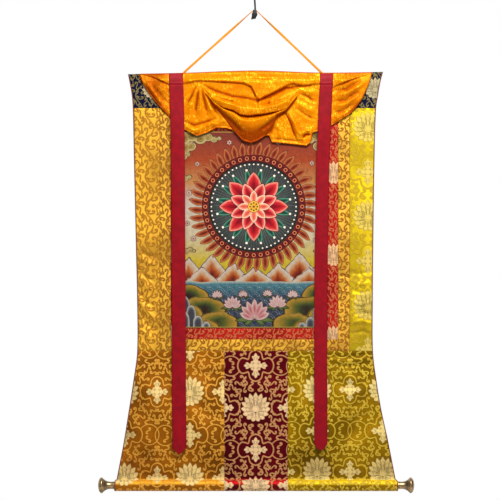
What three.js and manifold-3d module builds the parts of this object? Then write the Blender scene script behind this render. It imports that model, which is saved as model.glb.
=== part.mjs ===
// A Himalayan scroll painting (thangka) in its brocade mounting, hung by a cord from a plain hook.
// Millimetres, +Z up, the front faces -Y. The origin is the centre of the hook rod's flat top end.
import * as THREE from "three";
import { mergeVertices } from "three/addons/utils/BufferGeometryUtils.js";
import Module from "manifold-3d";

const kernel = await Module();
kernel.setup();
const { Manifold, Mesh: KernelMesh } = kernel;

// Cloth thicknesses and the clearance between sewn pieces.
const PANEL_THICKNESS = 1.6;
const BINDING_THICKNESS = 2.2;
const RIBBON_THICKNESS = 1.2;
const VEIL_THICKNESS = 1.6;
const SEAM_GAP = 0.3;

// The painted field and the two narrow borders around it.
const PAINTING_HALF_WIDTH = 190;
const PAINTING_TOP = -353;
const PAINTING_BOTTOM = -871;
const RED_BORDER_WIDTH = 29;
const GOLD_BORDER_WIDTH = 30;
const BINDING_WIDTH = 2.4;

// Levels of the two long seams, and the two upright seams of the lower cloth.
const RED_HALF_WIDTH = PAINTING_HALF_WIDTH + RED_BORDER_WIDTH;
const GOLD_HALF_WIDTH = RED_HALF_WIDTH + GOLD_BORDER_WIDTH;
const HEADING_SEAM = PAINTING_TOP + RED_BORDER_WIDTH + GOLD_BORDER_WIDTH;
const SKIRT_SEAM = PAINTING_BOTTOM - RED_BORDER_WIDTH - GOLD_BORDER_WIDTH;
const SKIRT_LEFT_SEAM = -79;
const SKIRT_RIGHT_SEAM = 87;

// The cloth's top edge bows up a little in the middle, where the cord pulls it.
const TOP_EDGE = [
  { x: -340, z: -204.5 },
  { x: -186, z: -201.5 },
  { x: 0, z: -195.5 },
  { x: 175, z: -201 },
  { x: 345, z: -199 },
];

// The outer edges at the left and the right, down to the crease above the roller.
const SIDE_EDGES = [
  { z: -190, left: -335, right: 339 },
  { z: -225, left: -328, right: 330 },
  { z: -262, left: -321.5, right: 323.5 },
  { z: -296, left: -319, right: 318.5 },
  { z: -428, left: -316, right: 314.5 },
  { z: -666, left: -310.5, right: 311 },
  { z: -800, left: -307.5, right: 310 },
  { z: -931, left: -307.5, right: 310.5 },
  { z: -1000, left: -316, right: 318.5 },
  { z: -1083, left: -329, right: 332 },
  { z: -1166, left: -342.5, right: 350 },
  { z: -1267, left: -361.5, right: 370 },
];
const HEM_FLARE = 6;

// Soft swells and hollows of the hanging cloth: centre, reach across and down, and how far forward.
const CLOTH_FOLDS = [
  { x: -190, z: -1105, across: 150, down: 95, forward: 7 },
  { x: 190, z: -1110, across: 130, down: 90, forward: 7 },
  { x: 0, z: -1120, across: 90, down: 90, forward: 4 },
  { x: -322, z: -1150, across: 34, down: 90, forward: -6 },
  { x: 268, z: -1120, across: 34, down: 75, forward: -7 },
  { x: 335, z: -1110, across: 30, down: 90, forward: 4 },
  { x: -282, z: -760, across: 26, down: 70, forward: 3 },
  { x: -284, z: -560, across: 26, down: 60, forward: -2.5 },
  { x: 284, z: -620, across: 28, down: 110, forward: 2.5 },
  { x: 60, z: -620, across: 150, down: 160, forward: 2 },
  { x: -330, z: -215, across: 26, down: 45, forward: -5 },
  { x: 334, z: -215, across: 26, down: 45, forward: 5 },
];
const FOLDS_END = -1255;
const FOLDS_FADE = 55;

// The roller in the hem; the cloth comes down behind a small crease and goes round it from the front.
const ROLLER_AXIS = -1282;
const ROLLER_RADIUS = 12.8;
const HEM_RADIUS = 14.3;
const CREASE_RADIUS = 4;
const HEM_END_ANGLE = THREE.MathUtils.degToRad(438);
const ROLLER_LEFT = -363.5;
const ROLLER_RIGHT = 372;
const ROLLER_SIDES = 24;

// Bell knobs: distance from the dowel's end and radius of the turned outline.
const KNOB_OUTLINE = [
  { along: 0, radius: 10.6 },
  { along: 8, radius: 9.8 },
  { along: 15, radius: 9.6 },
  { along: 22, radius: 10.8 },
  { along: 28, radius: 13.6 },
  { along: 32.5, radius: 17.6 },
  { along: 35, radius: 20.4 },
  { along: 37, radius: 20.6 },
  { along: 38.5, radius: 18.6 },
  { along: 43, radius: 13.4 },
  { along: 45.6, radius: 6.5 },
  { along: 46.4, radius: 0 },
];
const KNOB_SIDES = 28;

// Ribbons: centre line and distance forward of the cloth, from the top edge to the shoulders.
const RIBBON_LEFT_ROUTE = [
  { z: -203, x: -205.5, forward: 4.7 },
  { z: -214, x: -205.3, forward: 7.4 },
  { z: -229, x: -205, forward: 8.9 },
  { z: -262, x: -203.8, forward: 10 },
  { z: -330, x: -202, forward: 11.5 },
  { z: -460, x: -200, forward: 9.5 },
  { z: -666, x: -199.5, forward: 8 },
  { z: -860, x: -197.8, forward: 9 },
  { z: -1010, x: -197.5, forward: 13 },
  { z: -1120, x: -196.5, forward: 14 },
  { z: -1183, x: -196.8, forward: 13 },
];
const RIBBON_RIGHT_ROUTE = [
  { z: -203.5, x: 188.5, forward: 4.7 },
  { z: -214, x: 188.3, forward: 7.4 },
  { z: -229, x: 188, forward: 8.9 },
  { z: -262, x: 186, forward: 10 },
  { z: -330, x: 183, forward: 11.5 },
  { z: -460, x: 178.5, forward: 9.5 },
  { z: -666, x: 174.6, forward: 8 },
  { z: -860, x: 173, forward: 9 },
  { z: -1010, x: 172.8, forward: 13 },
  { z: -1120, x: 173, forward: 14 },
  { z: -1172, x: 173, forward: 13 },
];
const RIBBON_LEFT = { route: RIBBON_LEFT_ROUTE, width: 37, tip: -1200.5, tipShift: 0.5 };
const RIBBON_RIGHT = { route: RIBBON_RIGHT_ROUTE, width: 34.4, tip: -1189, tipShift: -1 };
const RIBBON_TIP_WIDTH = 3;

// The veil: drops are measured down from this level, heights forward from the cloth's middle.
const VEIL_LEVEL = -200;
const VEIL_LEFT = -302;
const VEIL_RIGHT = 307;
const VEIL_REST = 2.3;
const VEIL_STRIP = 24;

// The veil's lower edge, from its left top corner to its right one.
const VEIL_HEM = [
  { x: -302, drop: 6 },
  { x: -292, drop: 30 },
  { x: -272, drop: 62 },
  { x: -250, drop: 88 },
  { x: -224, drop: 116 },
  { x: -186, drop: 150 },
  { x: -151, drop: 168 },
  { x: -124, drop: 159 },
  { x: -101, drop: 146 },
  { x: -74, drop: 147 },
  { x: -58, drop: 151 },
  { x: -46, drop: 164 },
  { x: -30, drop: 180 },
  { x: -10, drop: 186 },
  { x: 6, drop: 181 },
  { x: 27, drop: 168 },
  { x: 38, drop: 166 },
  { x: 46, drop: 184 },
  { x: 82, drop: 187 },
  { x: 136, drop: 193 },
  { x: 147, drop: 184 },
  { x: 152, drop: 159 },
  { x: 180, drop: 151 },
  { x: 203, drop: 139 },
  { x: 227, drop: 125 },
  { x: 249, drop: 111 },
  { x: 267, drop: 91 },
  { x: 282, drop: 70 },
  { x: 297, drop: 38 },
  { x: 307, drop: 6 },
];

// Lower edge of the veil's top band, which turns back over the gathers.
const BAND_EDGE = [
  { x: -302, drop: 6 },
  { x: -270, drop: 13 },
  { x: -221, drop: 35 },
  { x: -185, drop: 31 },
  { x: -146, drop: 23 },
  { x: -108, drop: 30 },
  { x: -64, drop: 33 },
  { x: -25, drop: 33 },
  { x: -4, drop: 36 },
  { x: 4, drop: 66 },
  { x: 12, drop: 71 },
  { x: 40, drop: 61 },
  { x: 78, drop: 51 },
  { x: 97, drop: 32 },
  { x: 127, drop: 37 },
  { x: 169, drop: 32 },
  { x: 204, drop: 41 },
  { x: 250, drop: 23 },
  { x: 307, drop: 4 },
];
const BAND_HEIGHT = 6;
const BAND_ROUNDING = 9;

// The swag between the two gathers: its upper and lower outline.
const SWAG_TOP = [
  { x: -146, drop: 27 },
  { x: -111, drop: 38 },
  { x: -77, drop: 46 },
  { x: -30, drop: 48 },
  { x: -12, drop: 66 },
  { x: 6, drop: 76 },
  { x: 40, drop: 66 },
  { x: 80, drop: 55 },
  { x: 112, drop: 38 },
  { x: 128, drop: 39 },
];
const SWAG_BOTTOM = [
  { x: -146, drop: 27 },
  { x: -130, drop: 60 },
  { x: -108, drop: 86 },
  { x: -85, drop: 112 },
  { x: -64, drop: 141 },
  { x: -46, drop: 164 },
  { x: -30, drop: 184 },
  { x: -10, drop: 191 },
  { x: 6, drop: 186 },
  { x: 27, drop: 170 },
  { x: 43, drop: 151 },
  { x: 58, drop: 122 },
  { x: 85, drop: 100 },
  { x: 105, drop: 78 },
  { x: 122, drop: 52 },
  { x: 128, drop: 39 },
];
const SWAG_HEIGHT = 5;
const SWAG_ROUNDING = 12;

// Ridges and creases of the veil along short lines: half width and height forward, negative for a crease.
const VEIL_FOLDS = [
  { name: "upper roll", width: 19, forward: 13,
    line: [[-128, 46], [-100, 58], [-64, 72], [-25, 83], [9, 89], [46, 81], [85, 66], [112, 50]] },
  { name: "lower roll", width: 24, forward: 14,
    line: [[-84, 100], [-62, 117], [-38, 138], [-8, 147], [24, 134], [54, 114], [78, 103]] },
  { name: "crease between the rolls", width: 5.5, forward: -8,
    line: [[-96, 82], [-73, 90], [-48, 103], [-31, 113], [-12, 111], [30, 107], [66, 100]] },
  { name: "left lappet fold", width: 11, forward: 4.5, line: [[-156, 44], [-164, 84], [-168, 130]] },
  { name: "left lappet inner fold", width: 9, forward: 4, line: [[-140, 52], [-124, 98], [-112, 130]] },
  { name: "left lappet hem", width: 7, forward: 4, line: [[-178, 142], [-150, 156], [-126, 147], [-104, 136]] },
  { name: "right lappet step", width: 9, forward: 4.5, line: [[98, 108], [106, 130], [120, 172]] },
  { name: "right lappet crease", width: 5, forward: -2, line: [[84, 106], [96, 130], [108, 172]] },
  { name: "right lappet corner", width: 9, forward: 4.5, line: [[122, 180], [134, 168], [146, 162]] },
  { name: "left wing hollow", width: 9, forward: -1.5, line: [[-272, 28], [-252, 56], [-234, 84]] },
  { name: "left wing fold", width: 12, forward: 3, line: [[-258, 32], [-236, 62], [-216, 96]] },
  { name: "right wing fold", width: 12, forward: 3, line: [[204, 74], [240, 66], [272, 46]] },
  { name: "right wing lower fold", width: 12, forward: 3, line: [[204, 112], [232, 100], [256, 84]] },
];
const FOLD_END_SHARE = 0.25;
const FOLD_END_HEIGHT = 0.45;
const LAPPET_HEIGHT = 3.2;

// Where the ribbons press the veil back, and by which share.
const RIBBON_PRESS_CENTRES = [-205, 188];
const RIBBON_PRESS_REACH = 30;
const RIBBON_PRESS_SHARE = 0.62;

// The cord: its route over the hook, the ends lying behind the heading.
const CORD_DIAMETER = 4.4;
const CORD_DEPTH = 3.4;
const CORD_ROUTE = [
  [-190.5, -224], [-190.2, -214], [-188, -205], [-182.5, -198], [-170, -186.6], [-145, -164.2], [-115, -137.3],
  [-85, -110.4], [-55, -83.5], [-30, -61.1], [-14, -46.7], [-6.8, -40.4], [0.3, -37.5], [7.6, -40.5],
  [14.5, -47], [30, -61.8], [55, -85.7], [85, -114.3], [115, -143], [145, -171.6], [162, -187.8],
  [173.5, -198.8], [178.6, -206], [180.6, -214], [180.8, -224],
];
const CORD_STEPS = 72;
const CORD_SIDES = 8;

// The hook: a rod that leans a little, and a block with a slot for the cord.
const ROD_DIAMETER = 4.6;
const ROD_LENGTH = 52;
const ROD_LEAN = 3;
const ROD_SIDES = 16;
const SLOT_HALF_DEPTH = 2.7;
const LIP_THICKNESS = 2.6;
const BLOCK_BACK_THICKNESS = 6.4;
const ROD_DEPTH = CORD_DEPTH + SLOT_HALF_DEPTH + BLOCK_BACK_THICKNESS / 2;
const SADDLE_RADIUS = 7.4;
const SADDLE_SIDES = 24;
const JOIN_OVERLAP = 0.5;
const SADDLE_CENTRE = { x: 0.3, z: -48.1 };
const LIP_OUTLINE = [[-3.6, -36.4], [-5.4, -46], [-7.4, -54], [-8.6, -60.4], [3.4, -58.2], [5, -52],
  [6, -46], [6, -38], [3.4, -34.6]];
const SADDLE_OUTLINE = [[-7, -52], [-8.6, -60.4], [3.4, -58.2], [5, -52], [5.4, -48]];

const lerp = THREE.MathUtils.lerp;
const smooth = (value) => THREE.MathUtils.smoothstep(value, 0, 1);

// Value of a column of a table at a place along its key column, joined by smooth cubics.
function tableValue(rows, key, column, at) {
  const rising = rows[rows.length - 1][key] > rows[0][key];
  let index = 0;
  while (index < rows.length - 2 && (rising ? at > rows[index + 1][key] : at < rows[index + 1][key])) {
    index += 1;
  }
  const rise = (first, last, name) => rows[last][name] - rows[first][name];
  const slope = (first, last) => rise(first, last, column) / rise(first, last, key);
  const start = rows[index];
  const end = rows[index + 1];
  const span = end[key] - start[key];
  const t = THREE.MathUtils.clamp((at - start[key]) / span, 0, 1);
  const startSlope = slope(Math.max(index - 1, 0), index + 1);
  const endSlope = slope(index, Math.min(index + 2, rows.length - 1));
  const bend = (1 - t) * startSlope * span - t * endSlope * span;
  const straight = (1 - 2 * t) * (end[column] - start[column]);
  return lerp(start[column], end[column], t) + t * (1 - t) * (bend - straight);
}

// The same for a table that is joined by straight lines.
function straightValue(rows, key, column, at) {
  let index = 0;
  while (index < rows.length - 2 && at > rows[index + 1][key]) {
    index += 1;
  }
  const start = rows[index];
  const end = rows[index + 1];
  const t = THREE.MathUtils.clamp((at - start[key]) / (end[key] - start[key]), 0, 1);
  return lerp(start[column], end[column], t);
}

// Shortest distance from a point to a broken line, and how far along the line it is from 0 to 1.
function nearestOnLine(line, x, drop) {
  let best = { distance: Infinity, along: 0 };
  for (let i = 0; i + 1 < line.length; i += 1) {
    const [ax, ad] = line[i];
    const [bx, bd] = line[i + 1];
    const lengthSquared = (bx - ax) ** 2 + (bd - ad) ** 2;
    const t = THREE.MathUtils.clamp(((x - ax) * (bx - ax) + (drop - ad) * (bd - ad)) / lengthSquared, 0, 1);
    const distance = Math.hypot(x - lerp(ax, bx, t), drop - lerp(ad, bd, t));
    if (distance < best.distance) {
      best = { distance, along: (i + t) / (line.length - 1) };
    }
  }
  return best;
}

// How far forward the hanging cloth swells at a place on it.
function clothForward(x, z) {
  let forward = 0;
  for (const fold of CLOTH_FOLDS) {
    const acrossPart = ((x - fold.x) / fold.across) ** 2;
    const downPart = ((z - fold.z) / fold.down) ** 2;
    forward += fold.forward * Math.exp(-acrossPart - downPart);
  }
  return forward * smooth((z - FOLDS_END) / FOLDS_FADE);
}

// A closed sheet about a middle surface: place(u, v) runs left to right and top to bottom.
function sheetGeometry(columns, rows, thickness, place, thickenAlongDepth = false) {
  const middle = [];
  for (let row = 0; row <= rows; row += 1) {
    for (let column = 0; column <= columns; column += 1) {
      middle.push(place(column / columns, row / rows));
    }
  }
  const width = columns + 1;
  const at = (column, row) => {
    const safeColumn = THREE.MathUtils.clamp(column, 0, columns);
    const safeRow = THREE.MathUtils.clamp(row, 0, rows);
    return middle[safeRow * width + safeColumn];
  };
  const outward = (column, row) => {
    if (thickenAlongDepth) {
      return new THREE.Vector3(0, -1, 0);
    }
    const across = at(column + 1, row).clone().sub(at(column - 1, row));
    const down = at(column, row + 1).clone().sub(at(column, row - 1));
    return down.cross(across).normalize();
  };
  const positions = [];
  for (const side of [1, -1]) {
    for (let row = 0; row <= rows; row += 1) {
      for (let column = 0; column <= columns; column += 1) {
        const point = at(column, row).clone().addScaledVector(outward(column, row), side * thickness / 2);
        positions.push(point.x, point.y, point.z);
      }
    }
  }
  const backStart = width * (rows + 1);
  const front = (column, row) => row * width + column;
  const back = (column, row) => backStart + front(column, row);
  const faces = [];
  const quad = (a, b, c, d) => faces.push(a, b, c, a, c, d);
  for (let row = 0; row < rows; row += 1) {
    for (let column = 0; column < columns; column += 1) {
      quad(front(column, row), front(column, row + 1), front(column + 1, row + 1), front(column + 1, row));
      quad(back(column, row), back(column + 1, row), back(column + 1, row + 1), back(column, row + 1));
    }
    quad(front(0, row), back(0, row), back(0, row + 1), front(0, row + 1));
    quad(front(columns, row), front(columns, row + 1), back(columns, row + 1), back(columns, row));
  }
  for (let column = 0; column < columns; column += 1) {
    quad(front(column, 0), front(column + 1, 0), back(column + 1, 0), back(column, 0));
    quad(front(column, rows), back(column, rows), back(column + 1, rows), front(column + 1, rows));
  }
  const geometry = new THREE.BufferGeometry();
  geometry.setAttribute("position", new THREE.Float32BufferAttribute(positions, 3));
  geometry.setIndex(faces);
  geometry.computeVertexNormals();
  return geometry;
}

const leftEdge = (z) => tableValue(SIDE_EDGES, "z", "left", z);
const rightEdge = (z) => tableValue(SIDE_EDGES, "z", "right", z);
const topEdge = (x) => tableValue(TOP_EDGE, "x", "z", x);
const leftPanelEdge = (z) => leftEdge(z) + BINDING_WIDTH + SEAM_GAP;
const rightPanelEdge = (z) => rightEdge(z) - BINDING_WIDTH - SEAM_GAP;
const onCloth = (x, z) => new THREE.Vector3(x, -clothForward(x, z), z);

// A flat panel between two side lines and two levels, following the swells of the cloth. Side lines depend on
// the level and the top on the place across, so the corner points are found in a few passes.
const EDGE_PASSES = 4;

function panelGeometry({ columns, rows, left, right, top, bottom }) {
  const place = (u, v) => {
    let x = lerp(left(bottom), right(bottom), u);
    let z = lerp(top(x), bottom, v);
    for (let pass = 0; pass < EDGE_PASSES; pass += 1) {
      x = lerp(left(z), right(z), u);
      z = lerp(top(x), bottom, v);
    }
    return onCloth(x, z);
  };
  return sheetGeometry(columns, rows, PANEL_THICKNESS, place);
}

const steady = (value) => () => value;

// Where the crease turns forward and where the cloth meets the roller's hem circle.
const CREASE_LEVEL = ROLLER_AXIS + Math.sqrt((HEM_RADIUS + CREASE_RADIUS) ** 2 - CREASE_RADIUS ** 2);
const HEM_START_ANGLE = Math.atan2(CREASE_LEVEL - ROLLER_AXIS, -CREASE_RADIUS);

// The hem below the crease: depth and height at an angle turned, first in the crease, then round the roller.
function hemPoint(x, turned) {
  if (turned < HEM_START_ANGLE) {
    const y = -CREASE_RADIUS + CREASE_RADIUS * Math.cos(turned);
    return new THREE.Vector3(x, y, CREASE_LEVEL - CREASE_RADIUS * Math.sin(turned));
  }
  return new THREE.Vector3(x, HEM_RADIUS * Math.cos(turned), ROLLER_AXIS + HEM_RADIUS * Math.sin(turned));
}

// How much farther out the edge of the cloth lies as it passes over the front of the roller.
const hemFlare = (turned) => HEM_FLARE * smooth(turned / Math.PI);

// A strip that hangs from a seam and ends round the roller; stations share out its rows.
const SKIRT_SIDE_COLUMNS = 9;
const SKIRT_CENTRE_COLUMNS = 5;
const SKIRT_FLAT_ROWS = 9;
const SKIRT_CREASE_ROWS = 2;
const SKIRT_HEM_ROWS = 14;
const SKIRT_ROWS = SKIRT_FLAT_ROWS + SKIRT_CREASE_ROWS + SKIRT_HEM_ROWS;

function hangingPlace(top, left, right, flatRows, hemRows, hemEndAngle) {
  const rows = flatRows + SKIRT_CREASE_ROWS + hemRows;
  const hemTurn = hemEndAngle - HEM_START_ANGLE;
  return (u, v) => {
    const row = v * rows;
    if (row <= flatRows) {
      const level = lerp(top, CREASE_LEVEL, row / flatRows);
      return onCloth(lerp(left(level, 0), right(level, 0), u), level);
    }
    const creaseRow = row - flatRows;
    const turned = creaseRow <= SKIRT_CREASE_ROWS
      ? HEM_START_ANGLE * creaseRow / SKIRT_CREASE_ROWS
      : HEM_START_ANGLE + hemTurn * (creaseRow - SKIRT_CREASE_ROWS) / hemRows;
    return hemPoint(lerp(left(CREASE_LEVEL, turned), right(CREASE_LEVEL, turned), u), turned);
  };
}

function skirtGeometry(columns, left, right) {
  const top = SKIRT_SEAM - SEAM_GAP / 2;
  const place = hangingPlace(top, left, right, SKIRT_FLAT_ROWS, SKIRT_HEM_ROWS, HEM_END_ANGLE);
  return sheetGeometry(columns, SKIRT_ROWS, PANEL_THICKNESS, place);
}

// The piping along one outer edge, from the top corner to the underside of the roller.
const BINDING_FLAT_ROWS = 28;
const BINDING_HEM_ROWS = 7;
const BINDING_END_ANGLE = THREE.MathUtils.degToRad(265);

function bindingGeometry(left, right, top) {
  const rows = BINDING_FLAT_ROWS + SKIRT_CREASE_ROWS + BINDING_HEM_ROWS;
  const place = hangingPlace(top, left, right, BINDING_FLAT_ROWS, BINDING_HEM_ROWS, BINDING_END_ANGLE);
  return sheetGeometry(1, rows, BINDING_THICKNESS, place);
}

// A ribbon that narrows to a point below its shoulders; its rows are shared out over the route's stations.
const RIBBON_ROWS_PER_STATION = 3;
const RIBBON_TIP_ROWS = 3;

function ribbonGeometry({ route, width, tip, tipShift }) {
  const stations = route.length - 1;
  const bodyRows = stations * RIBBON_ROWS_PER_STATION;
  const rows = bodyRows + RIBBON_TIP_ROWS;
  const place = (u, v) => {
    const row = v * rows;
    const inTip = Math.max(0, (row - bodyRows) / RIBBON_TIP_ROWS);
    const station = Math.min(row / RIBBON_ROWS_PER_STATION, stations);
    const index = Math.min(Math.floor(station), stations - 1);
    const bodyLevel = lerp(route[index].z, route[index + 1].z, station - index);
    const z = lerp(bodyLevel, tip, inTip);
    const centre = tableValue(route, "z", "x", z) + tipShift * inTip;
    const forward = tableValue(route, "z", "forward", z);
    const x = centre + (u - 0.5) * lerp(width, RIBBON_TIP_WIDTH, inTip);
    return new THREE.Vector3(x, -forward, z);
  };
  return sheetGeometry(2, rows, RIBBON_THICKNESS, place);
}

// How far forward the middle of the veil stands at a place on it.
function veilForward(x, drop) {
  const fromSeam = smooth(drop / VEIL_STRIP);
  const belowBand = drop - straightValue(BAND_EDGE, "x", "drop", x);
  const bandPart = 1 - smooth((belowBand + BAND_ROUNDING) / BAND_ROUNDING);
  const inSwagTop = drop - straightValue(SWAG_TOP, "x", "drop", x);
  const inSwagBottom = straightValue(SWAG_BOTTOM, "x", "drop", x) - drop;
  const swagPart = smooth(Math.min(inSwagTop, inSwagBottom) / SWAG_ROUNDING);
  let raised = LAPPET_HEIGHT + BAND_HEIGHT * bandPart + SWAG_HEIGHT * swagPart;
  for (const fold of VEIL_FOLDS) {
    const { distance, along } = nearestOnLine(fold.line, x, drop);
    const ends = smooth(along / FOLD_END_SHARE) * smooth((1 - along) / FOLD_END_SHARE);
    raised += fold.forward * lerp(FOLD_END_HEIGHT, 1, ends) * Math.exp(-((distance / fold.width) ** 2));
  }
  let press = 1;
  for (const centre of RIBBON_PRESS_CENTRES) {
    press -= RIBBON_PRESS_SHARE * Math.exp(-(((x - centre) / RIBBON_PRESS_REACH) ** 4));
  }
  return VEIL_REST + Math.max(0, raised) * fromSeam * press;
}

const VEIL_COLUMNS = 66;
const VEIL_ROWS = 18;

function veilGeometry() {
  const place = (u, v) => {
    const x = lerp(VEIL_LEFT, VEIL_RIGHT, u);
    const top = VEIL_LEVEL - topEdge(x);
    const drop = lerp(top, straightValue(VEIL_HEM, "x", "drop", x), v);
    const z = VEIL_LEVEL - drop;
    return new THREE.Vector3(x, -clothForward(x, z) - veilForward(x, drop), z);
  };
  return sheetGeometry(VEIL_COLUMNS, VEIL_ROWS, VEIL_THICKNESS, place, true);
}

// A bell knob turned about the roller's axis, pointing left or right.
function knobGeometry(endX, direction) {
  const outline = [new THREE.Vector2(0, 0)];
  for (const { along, radius } of KNOB_OUTLINE) {
    outline.push(new THREE.Vector2(radius, along));
  }
  const geometry = new THREE.LatheGeometry(outline, KNOB_SIDES);
  geometry.rotateZ(-direction * Math.PI / 2);
  geometry.translate(endX + direction * SEAM_GAP, 0, ROLLER_AXIS);
  return geometry;
}

function cordGeometry() {
  const route = new THREE.CatmullRomCurve3(CORD_ROUTE.map(([x, z]) => new THREE.Vector3(x, CORD_DEPTH, z)));
  const section = new THREE.Shape();
  for (let side = 0; side < CORD_SIDES; side += 1) {
    const angle = side / CORD_SIDES * Math.PI * 2;
    const x = CORD_DIAMETER / 2 * Math.cos(angle);
    const y = CORD_DIAMETER / 2 * Math.sin(angle);
    if (side === 0) {
      section.moveTo(x, y);
    } else {
      section.lineTo(x, y);
    }
  }
  return new THREE.ExtrudeGeometry(section, { steps: CORD_STEPS, extrudePath: route, bevelEnabled: false });
}

// A plate with an outline in front view, between two depths.
function plateGeometry(outline, frontY, backY) {
  const shape = new THREE.Shape(outline.map(([x, z]) => new THREE.Vector2(x, z)));
  const geometry = new THREE.ExtrudeGeometry(shape, { depth: backY - frontY, bevelEnabled: false });
  geometry.rotateX(Math.PI / 2);
  geometry.translate(0, backY, 0);
  return geometry;
}

function toManifold(geometry) {
  const plain = geometry.clone();
  plain.deleteAttribute("normal");
  plain.deleteAttribute("uv");
  const merged = mergeVertices(plain, 1e-4);
  return new Manifold(new KernelMesh({
    numProp: 3,
    vertProperties: new Float32Array(merged.attributes.position.array),
    triVerts: new Uint32Array(merged.index.array),
  }));
}

function fromManifold(solid) {
  const { numProp, vertProperties, triVerts } = solid.getMesh();
  const geometry = new THREE.BufferGeometry();
  const positions = new Float32Array(vertProperties.length / numProp * 3);
  for (let vertex = 0; vertex < positions.length / 3; vertex += 1) {
    positions.set(vertProperties.subarray(vertex * numProp, vertex * numProp + 3), vertex * 3);
  }
  geometry.setAttribute("position", new THREE.Float32BufferAttribute(positions, 3));
  geometry.setIndex(Array.from(triVerts));
  geometry.computeVertexNormals();
  return geometry;
}

// The hook: lip, saddle and back joined to the rod that holds them.
function hookGeometry() {
  const slotFront = CORD_DEPTH - SLOT_HALF_DEPTH;
  const slotBack = CORD_DEPTH + SLOT_HALF_DEPTH;
  const blockBack = slotBack + BLOCK_BACK_THICKNESS;
  const lip = plateGeometry(LIP_OUTLINE, slotFront - LIP_THICKNESS, slotFront);
  const back = plateGeometry(LIP_OUTLINE, slotBack, blockBack);
  const base = plateGeometry(SADDLE_OUTLINE, slotFront - JOIN_OVERLAP, slotBack + JOIN_OVERLAP);
  const saddleDepth = slotBack - slotFront + 2 * JOIN_OVERLAP;
  const saddle = new THREE.CylinderGeometry(SADDLE_RADIUS, SADDLE_RADIUS, saddleDepth, SADDLE_SIDES);
  saddle.translate(SADDLE_CENTRE.x, CORD_DEPTH, SADDLE_CENTRE.z);
  const rod = new THREE.CylinderGeometry(ROD_DIAMETER / 2, ROD_DIAMETER / 2, ROD_LENGTH, ROD_SIDES);
  rod.rotateX(Math.PI / 2);
  rod.translate(0, ROD_DEPTH, -ROD_LENGTH / 2);
  rod.applyMatrix4(new THREE.Matrix4().makeShear(0, 0, 0, 0, -ROD_LEAN / ROD_LENGTH, 0));
  const parts = [lip, back, base, saddle, rod].map(toManifold);
  return fromManifold(Manifold.union(parts));
}

function material(color, roughness, metalness = 0) {
  return new THREE.MeshStandardMaterial({ color, roughness, metalness });
}

const MATERIALS = {
  navy: material(0x141a38, 0.7),
  orangeGold: material(0xd99a30, 0.65),
  yellowGold: material(0xd5b432, 0.65),
  borderGold: material(0xd39531, 0.65),
  borderRed: material(0xb84a34, 0.65),
  canvas: material(0x8b614a, 0.8),
  ochre: material(0xb1782f, 0.65),
  maroon: material(0x6e1c22, 0.65),
  olive: material(0xa78127, 0.65),
  piping: material(0x5a1f1a, 0.7),
  saffron: material(0xee9208, 0.5),
  crimson: material(0xa11323, 0.5),
  cord: material(0xd7821a, 0.6),
  wood: material(0x8a5a32, 0.7),
  brass: material(0x89765d, 0.4, 1),
  iron: material(0x2a2a28, 0.5, 0.6),
};

const thangka = new THREE.Group();
thangka.name = "thangka";

// Every piece is drawn about the cloth's middle plane, then moved so that the rod's end is at the origin.
function add(name, geometry, pieceMaterial) {
  geometry.translate(0, -ROD_DEPTH, 0);
  const mesh = new THREE.Mesh(geometry, pieceMaterial);
  mesh.name = name;
  thangka.add(mesh);
}

const halfGap = SEAM_GAP / 2;
const besideLeft = steady(-GOLD_HALF_WIDTH - halfGap);
const besideRight = steady(GOLD_HALF_WIDTH + halfGap);

add("hanging_hook", hookGeometry(), MATERIALS.iron);
add("hanging_cord", cordGeometry(), MATERIALS.cord);
add("heading_band", panelGeometry({ columns: 20, rows: 4, left: leftPanelEdge, right: rightPanelEdge,
  top: topEdge, bottom: HEADING_SEAM + halfGap }), MATERIALS.navy);
add("side_panel_left", panelGeometry({ columns: 2, rows: 16, left: leftPanelEdge, right: besideLeft,
  top: steady(HEADING_SEAM - halfGap), bottom: SKIRT_SEAM + halfGap }), MATERIALS.orangeGold);
add("side_panel_right", panelGeometry({ columns: 2, rows: 16, left: besideRight, right: rightPanelEdge,
  top: steady(HEADING_SEAM - halfGap), bottom: SKIRT_SEAM + halfGap }), MATERIALS.yellowGold);

// Four butted strips around a rectangle: the upright ones run the full height.
function addBorder(name, inner, outer, bottom, top, width, pieceMaterial) {
  const upright = { columns: 1, rows: 14, top: steady(top - halfGap), bottom: bottom + halfGap };
  const innerSide = inner + halfGap;
  const outerSide = outer - halfGap;
  add(`${name}_left`, panelGeometry({ ...upright, left: steady(-outerSide), right: steady(-innerSide) }),
    pieceMaterial);
  add(`${name}_right`, panelGeometry({ ...upright, left: steady(innerSide), right: steady(outerSide) }),
    pieceMaterial);
  const level = { columns: 10, rows: 1, left: steady(-inner + halfGap), right: steady(inner - halfGap) };
  add(`${name}_top`, panelGeometry({ ...level, top: steady(top - halfGap), bottom: top - width + halfGap }),
    pieceMaterial);
  add(`${name}_bottom`, panelGeometry({ ...level, top: steady(bottom + width - halfGap),
    bottom: bottom + halfGap }), pieceMaterial);
}

addBorder("gold_border", RED_HALF_WIDTH, GOLD_HALF_WIDTH, SKIRT_SEAM, HEADING_SEAM, GOLD_BORDER_WIDTH,
  MATERIALS.borderGold);
addBorder("red_border", PAINTING_HALF_WIDTH, RED_HALF_WIDTH, PAINTING_BOTTOM - RED_BORDER_WIDTH,
  PAINTING_TOP + RED_BORDER_WIDTH, RED_BORDER_WIDTH, MATERIALS.borderRed);
add("painting", panelGeometry({ columns: 8, rows: 10, left: steady(-PAINTING_HALF_WIDTH + halfGap),
  right: steady(PAINTING_HALF_WIDTH - halfGap), top: steady(PAINTING_TOP - halfGap),
  bottom: PAINTING_BOTTOM + halfGap }), MATERIALS.canvas);

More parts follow.
